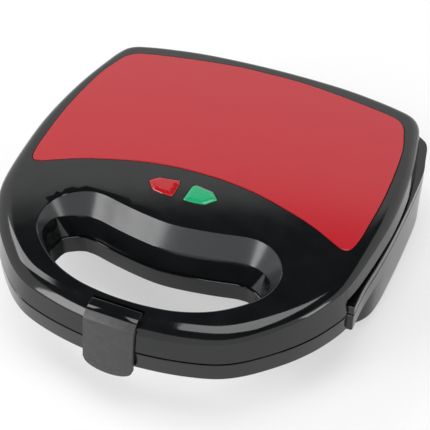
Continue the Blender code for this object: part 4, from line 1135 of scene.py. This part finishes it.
def heaterPath(height):
    wide = plate["halfWidth"] - tubes["rodInset"]
    high = backY - plate["backDepth"] - tubes["rodInset"]
    low = backY - plate["backDepth"] - 2 * plate["halfLength"] + tubes["rodInset"]
    tail = backY - plate["backDepth"] - tubes["tailInset"]
    right = [(tubes["tailSpread"], tail, height), (tubes["tailSpread"], high, height), (wide, high, height),
             (wide, low, height)]
    return right + [(-x, y, z) for x, y, z in reversed(right)]


for name, owner in (("lower", "base"), ("upper", "lid")):
    path = heaterPath(tubes[name + "Height"])
    sweptTube(name + "Heater", path, tubes["rodRadius"], tubes["rodBend"], heaterSheath, owner,
              name + "_heating_element")

# Each lead runs from a heater's tail to the terminal block or to a lamp
heaterTail = backY - plate["backDepth"] - tubes["tailInset"] + clearance
lampY = backY - body["depth"] * tubes["lampDepthShare"]


def baseLeadPath(side):
    near, far = side * tubes["blockSide"], side * tubes["tailSpread"]
    behind, low, high = heaterTail + tubes["baseLeadGap"], tubes["blockHeight"], tubes["lowerHeight"]
    return [(near, backY - tubes["blockDepth"], low), (near, behind, low), (far, behind, low),
            (far, behind, high), (far, heaterTail, high)]


def lidLeadPath(side):
    far, edge = side * tubes["tailSpread"], side * tubes["edgeSide"]
    lamp = side * tubes["lampSide"] - tubes["lampShift"]
    behind, high = heaterTail + tubes["lidLeadGap"], tubes["upperHeight"]
    return [(far, heaterTail, high), (far, behind, high), (edge, behind, high), (edge, lampY, high),
            (lamp, lampY, high)]


leads = (("left", -1, blueWire, "blue_wire"), ("right", 1, brownWire, "brown_wire"))
for word, side, material, slotName in leads:
    for owner, path in (("base", baseLeadPath(side)), ("lid", lidLeadPath(side))):
        sweptTube(owner + "Lead" + word.title(), path, tubes["leadRadius"], tubes["leadBend"], material,
                  owner, owner + "_lead_" + word)
print("heating rods and leads ready")


# Screws and feet: turned by rule from cylinders and set on points

screws = {
    "headRadius": 0.0024, "headHeight": 0.0012, "headRound": 0.16, "crossLength": 0.0026,
    "crossWidth": 0.0006,
    "crossDepth": 0.0009, "shankRadius": 0.0013, "shankLength": 0.0093, "threadPitch": 0.0007,
    "threadRise": 0.10,
}
feet = {"radius": 0.0085, "height": 0.0059, "round": 0.09, "stemRadius": 0.0024, "stemLength": 0.0038}


def screwTree():
    s = Shape("crossScrew", {
        "Head Radius": screws["headRadius"], "Head Height": screws["headHeight"],
        "Head Round": screws["headRound"],
        "Cross Length": screws["crossLength"], "Cross Width": screws["crossWidth"],
        "Cross Depth": screws["crossDepth"],
        "Shank Radius": screws["shankRadius"], "Shank Length": screws["shankLength"],
        "Thread Pitch": screws["threadPitch"], "Thread Rise": screws["threadRise"], "Material": steel})
    height = s["Head Height"]
    head = s.shifted(s.cylinder(s["Head Radius"], height, 32, 4, 3), s.sum("MULTIPLY", height, 0.5))
    x, y, z = s.place()
    up = s.sum("SUBTRACT", 1.0, s.sum("DIVIDE", z, height))
    draw = s.sum("SUBTRACT", 1.0, s.sum("MULTIPLY", s.sum("MULTIPLY", up, up), s["Head Round"]))
    pan = s.moved(head, s.sum("MULTIPLY", x, draw), s.sum("MULTIPLY", y, draw), z)
    deep = s.sum("MULTIPLY", s["Cross Depth"], 2.0)
    bars = [s.node("GeometryNodeMeshCube", {"Size": s.vector(*size, deep)}).outputs["Mesh"] for size in
            ((s["Cross Length"], s["Cross Width"]), (s["Cross Width"], s["Cross Length"]))]
    cross = s.node("GeometryNodeMeshBoolean", {"Mesh 2": bars}, operation="UNION").outputs[0]
    slotted = s.node("GeometryNodeMeshBoolean", {"Mesh 1": pan, "Mesh 2": cross},
                     operation="DIFFERENCE").outputs[0]

    # a helical thread: the radius follows the turn and the height
    shank = s.shifted(s.cylinder(s["Shank Radius"], s["Shank Length"], 14, 60),
                      s.sum("ADD", height, s.sum("MULTIPLY", s["Shank Length"], 0.5)))
    x, y, z = s.place()
    turn = s.sum("ADD", s.sum("MULTIPLY", s.sum("DIVIDE", z, s["Thread Pitch"]), 2 * math.pi),
                 s.sum("ARCTAN2", y, x))
    wave = s.sum("ADD", 1.0, s.sum("MULTIPLY", s.sum("SINE", turn), s["Thread Rise"]))
    thread = s.moved(shank, s.sum("MULTIPLY", x, wave), s.sum("MULTIPLY", y, wave), z)
    share = s.node("GeometryNodeInputNamedAttribute", {"Name": "shank"},
                   data_type="FLOAT").outputs["Attribute"]
    return s.close(s.joined(s.onPoints(slotted), s.onPoints(thread, s.vector(1.0, 1.0, share))))


def footTree():
    s = Shape("rubberFoot", {"Radius": feet["radius"], "Height": feet["height"], "Round": feet["round"],
                             "Stem Radius": feet["stemRadius"], "Stem Length": feet["stemLength"],
                             "Material": footRubber})
    block = s.shifted(s.cylinder(s["Radius"], s["Height"], 48, 12, 4), s.sum("MULTIPLY", s["Height"], 0.5))
    x, y, z = s.place()
    low = s.sum("SUBTRACT", 1.0, s.sum("DIVIDE", z, s["Height"]))
    draw = s.sum("SUBTRACT", 1.0, s.sum("MULTIPLY", s.sum("POWER", low, 8.0), s["Round"]))
    foot = s.moved(block, s.sum("MULTIPLY", x, draw), s.sum("MULTIPLY", y, draw), z)
    stem = s.shifted(s.cylinder(s["Stem Radius"], s["Stem Length"], 24, 1),
                     s.sum("ADD", s["Height"], s.sum("MULTIPLY", s["Stem Length"], 0.5)))
    return s.close(s.onPoints(s.joined(foot, stem)))


screwPlaces = {
    "frame_screw_back": (0.02496, 0.0107, lidBottom, 1.0, "lid"),
    "frame_screw_front": (0.060, 0.1475, lidBottom, 1.0, "lid"),
    "lid_handle_screw": (0.0855, 0.177, lidBottom, 0.68, "lid"),
    "base_handle_screw": (0.0855, 0.177, 0.0324, 0.68, "base"),
    "cover_screw_back": (0.103, 0.060, 0.0062, 1.0, "base"),
    "cover_screw_front": (0.103, 0.116, 0.0062, 1.0, "base"),
}
for owner in ("lid", "base"):
    points, shares, names = [], [], []
    for name, (x, depth, z, share, carrier) in screwPlaces.items():
        if carrier == owner:
            for word, side in (("left", -1), ("right", 1)):
                points.append((side * x, backY - depth, z + clearance))
                shares.append(share)
                names.append(f"{name}_{word}")
    piece = screwTree().made(owner + "Screws", points, sharp=40, shank=shares)
    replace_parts(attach(piece, owner), *names)

footPoints = [(side * 0.078, backY - body["depth"] * depth, 0)
              for depth in (0.104, 0.546) for side in (-1, 1)]
piece = footTree().made("rubberFeet", footPoints, sharp=40)
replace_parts(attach(piece, "base"),
            *(f"foot_{row}_{word}" for row in ("back", "front") for word in ("left", "right")))
print("screws and feet ready")


# Lamp lenses

def makeLens(name, side, material):
    outline = lensOutline(side)
    middle = outline.mean(axis=0)
    draft = Draft()
    levels = [(0, -lens["pitDepth"] + 0.0003), (0, -0.0001), (-0.0003, 0.0003),
              (-lens["bevel"], lens["proud"] - 0.0001), (-lens["bevel"] - 0.0003, lens["proud"])]
    rings = []
    for grow, above in levels:
        ring = middle + (outline - middle) * (1 + 2 * grow / lens["length"])
        rings.append(draft.ring(atHeight(ring, lidTop(ring) + above)))
    draft.skins(rings)
    draft.cap(rings[0])
    draft.cap(rings[-1], [], lambda p: lidTop(p) + lens["proud"], 0.0015)
    return draft.build(name, [material], 20)


for name, side, material in (("red", -1, redLens), ("green", 1, greenLens)):
    piece = makeLens(name + "Lens", side, material)
    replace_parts(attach(piece, "lid"), name + "_lamp_lens")
print("lenses ready")


# Studio

studio = {
    "lens": 96.9, "azimuth": 23.494, "elevation": 42.469, "place": (0.2128, -0.4647, 0.5039),
    "shiftX": -0.0087, "wallTop": 0.72, "wallLight": 1.0, "ceilingLight": 0.03, "floorWhite": 0.5,
}


def makeFloorMaterial():
    # part of what the camera sees is plain white, so the shadow stays soft
    material = newMaterial("paleFloor", (0.88, 0.88, 0.88), 0.7)
    tree = material.node_tree
    shader, output = tree.nodes["Principled BSDF"], tree.nodes["Material Output"]
    white = tree.nodes.new("ShaderNodeEmission")
    mix = tree.nodes.new("ShaderNodeMixShader")
    rays = tree.nodes.new("ShaderNodeLightPath")
    share = tree.nodes.new("ShaderNodeMath")
    share.operation = "MULTIPLY"
    share.inputs[1].default_value = studio["floorWhite"]
    tree.links.new(rays.outputs["Is Camera Ray"], share.inputs[0])
    tree.links.new(share.outputs[0], mix.inputs["Fac"])
    tree.links.new(shader.outputs[0], mix.inputs[1])
    tree.links.new(white.outputs[0], mix.inputs[2])
    tree.links.new(mix.outputs[0], output.inputs["Surface"])
    return material


def makeStudio():
    floorDraft = Draft()
    ring = floorDraft.ring([(4 * math.cos(a), 4 * math.sin(a), 0)
                            for a in np.linspace(0, 2 * math.pi, 64, False)])
    floorDraft.cap(ring)
    floor = floorDraft.build("floor", [makeFloorMaterial()])

    world = bpy.data.worlds.new("studioWorld")
    bpy.context.scene.world = world
    world.use_nodes = True
    tree = world.node_tree
    background = tree.nodes["Background"]
    place = tree.nodes.new("ShaderNodeTexCoord")
    split = tree.nodes.new("ShaderNodeSeparateXYZ")
    ramp = tree.nodes.new("ShaderNodeMapRange")
    ramp.inputs["From Min"].default_value = studio["wallTop"] - 0.015
    ramp.inputs["From Max"].default_value = studio["wallTop"] + 0.015
    ramp.inputs["To Min"].default_value = studio["wallLight"]
    ramp.inputs["To Max"].default_value = studio["ceilingLight"]
    rays = tree.nodes.new("ShaderNodeLightPath")
    mix = tree.nodes.new("ShaderNodeMix")
    tree.links.new(place.outputs["Generated"], split.inputs["Vector"])
    tree.links.new(split.outputs["Z"], ramp.inputs["Value"])
    tree.links.new(rays.outputs["Is Camera Ray"], mix.inputs[0])
    tree.links.new(ramp.outputs["Result"], mix.inputs[2])
    mix.inputs[3].default_value = 1.0
    tree.links.new(mix.outputs[0], background.inputs["Strength"])
    background.inputs["Color"].default_value = (1, 1, 1, 1)


lamps = {
    "overhead": {"place": (0.15, 0.0, 1.6), "size": (0.9, 0.9), "radiance": 4.0},
    "leftBox": {"place": (-0.95, 0.14, 1.16), "size": (0.5, 0.5), "radiance": 5.0},
    "frontLeftBox": {"place": (-0.83, -1.10, 0.80), "size": (0.6, 0.9), "radiance": 6.0},
    "rightBox": {"place": (1.34, -0.19, 0.84), "size": (0.4, 0.4), "radiance": 5.0},
}


def makeLamps():
    for name, values in lamps.items():
        light = bpy.data.lights.new(name, "AREA")
        light.shape = "RECTANGLE"
        light.size, light.size_y = values["size"]
        light.energy = values["radiance"] * math.pi * light.size * light.size_y
        obj = bpy.data.objects.new(name, light)
        obj.location = values["place"]
        aim = Vector((0, -0.03, 0.05)) - obj.location
        obj.rotation_euler = aim.to_track_quat("-Z", "Y").to_euler()
        bpy.context.collection.objects.link(obj)


def makeCamera():
    a, e = math.radians(studio["azimuth"]), math.radians(studio["elevation"])
    back = Vector((math.sin(a) * math.cos(e), -math.cos(a) * math.cos(e), math.sin(e)))
    data = bpy.data.cameras.new("camera")
    data.lens = studio["lens"]
    data.sensor_width = 36
    data.shift_x = studio["shiftX"]
    data.clip_start, data.clip_end = 0.01, 20
    camera = bpy.data.objects.new("camera", data)
    camera.location = studio["place"]
    camera.rotation_euler = (-back).to_track_quat("-Z", "Y").to_euler()
    bpy.context.collection.objects.link(camera)
    bpy.context.scene.camera = camera


makeStudio()
makeLamps()
makeCamera()
bpy.context.scene.view_settings.view_transform = "Standard"
print("studio ready")
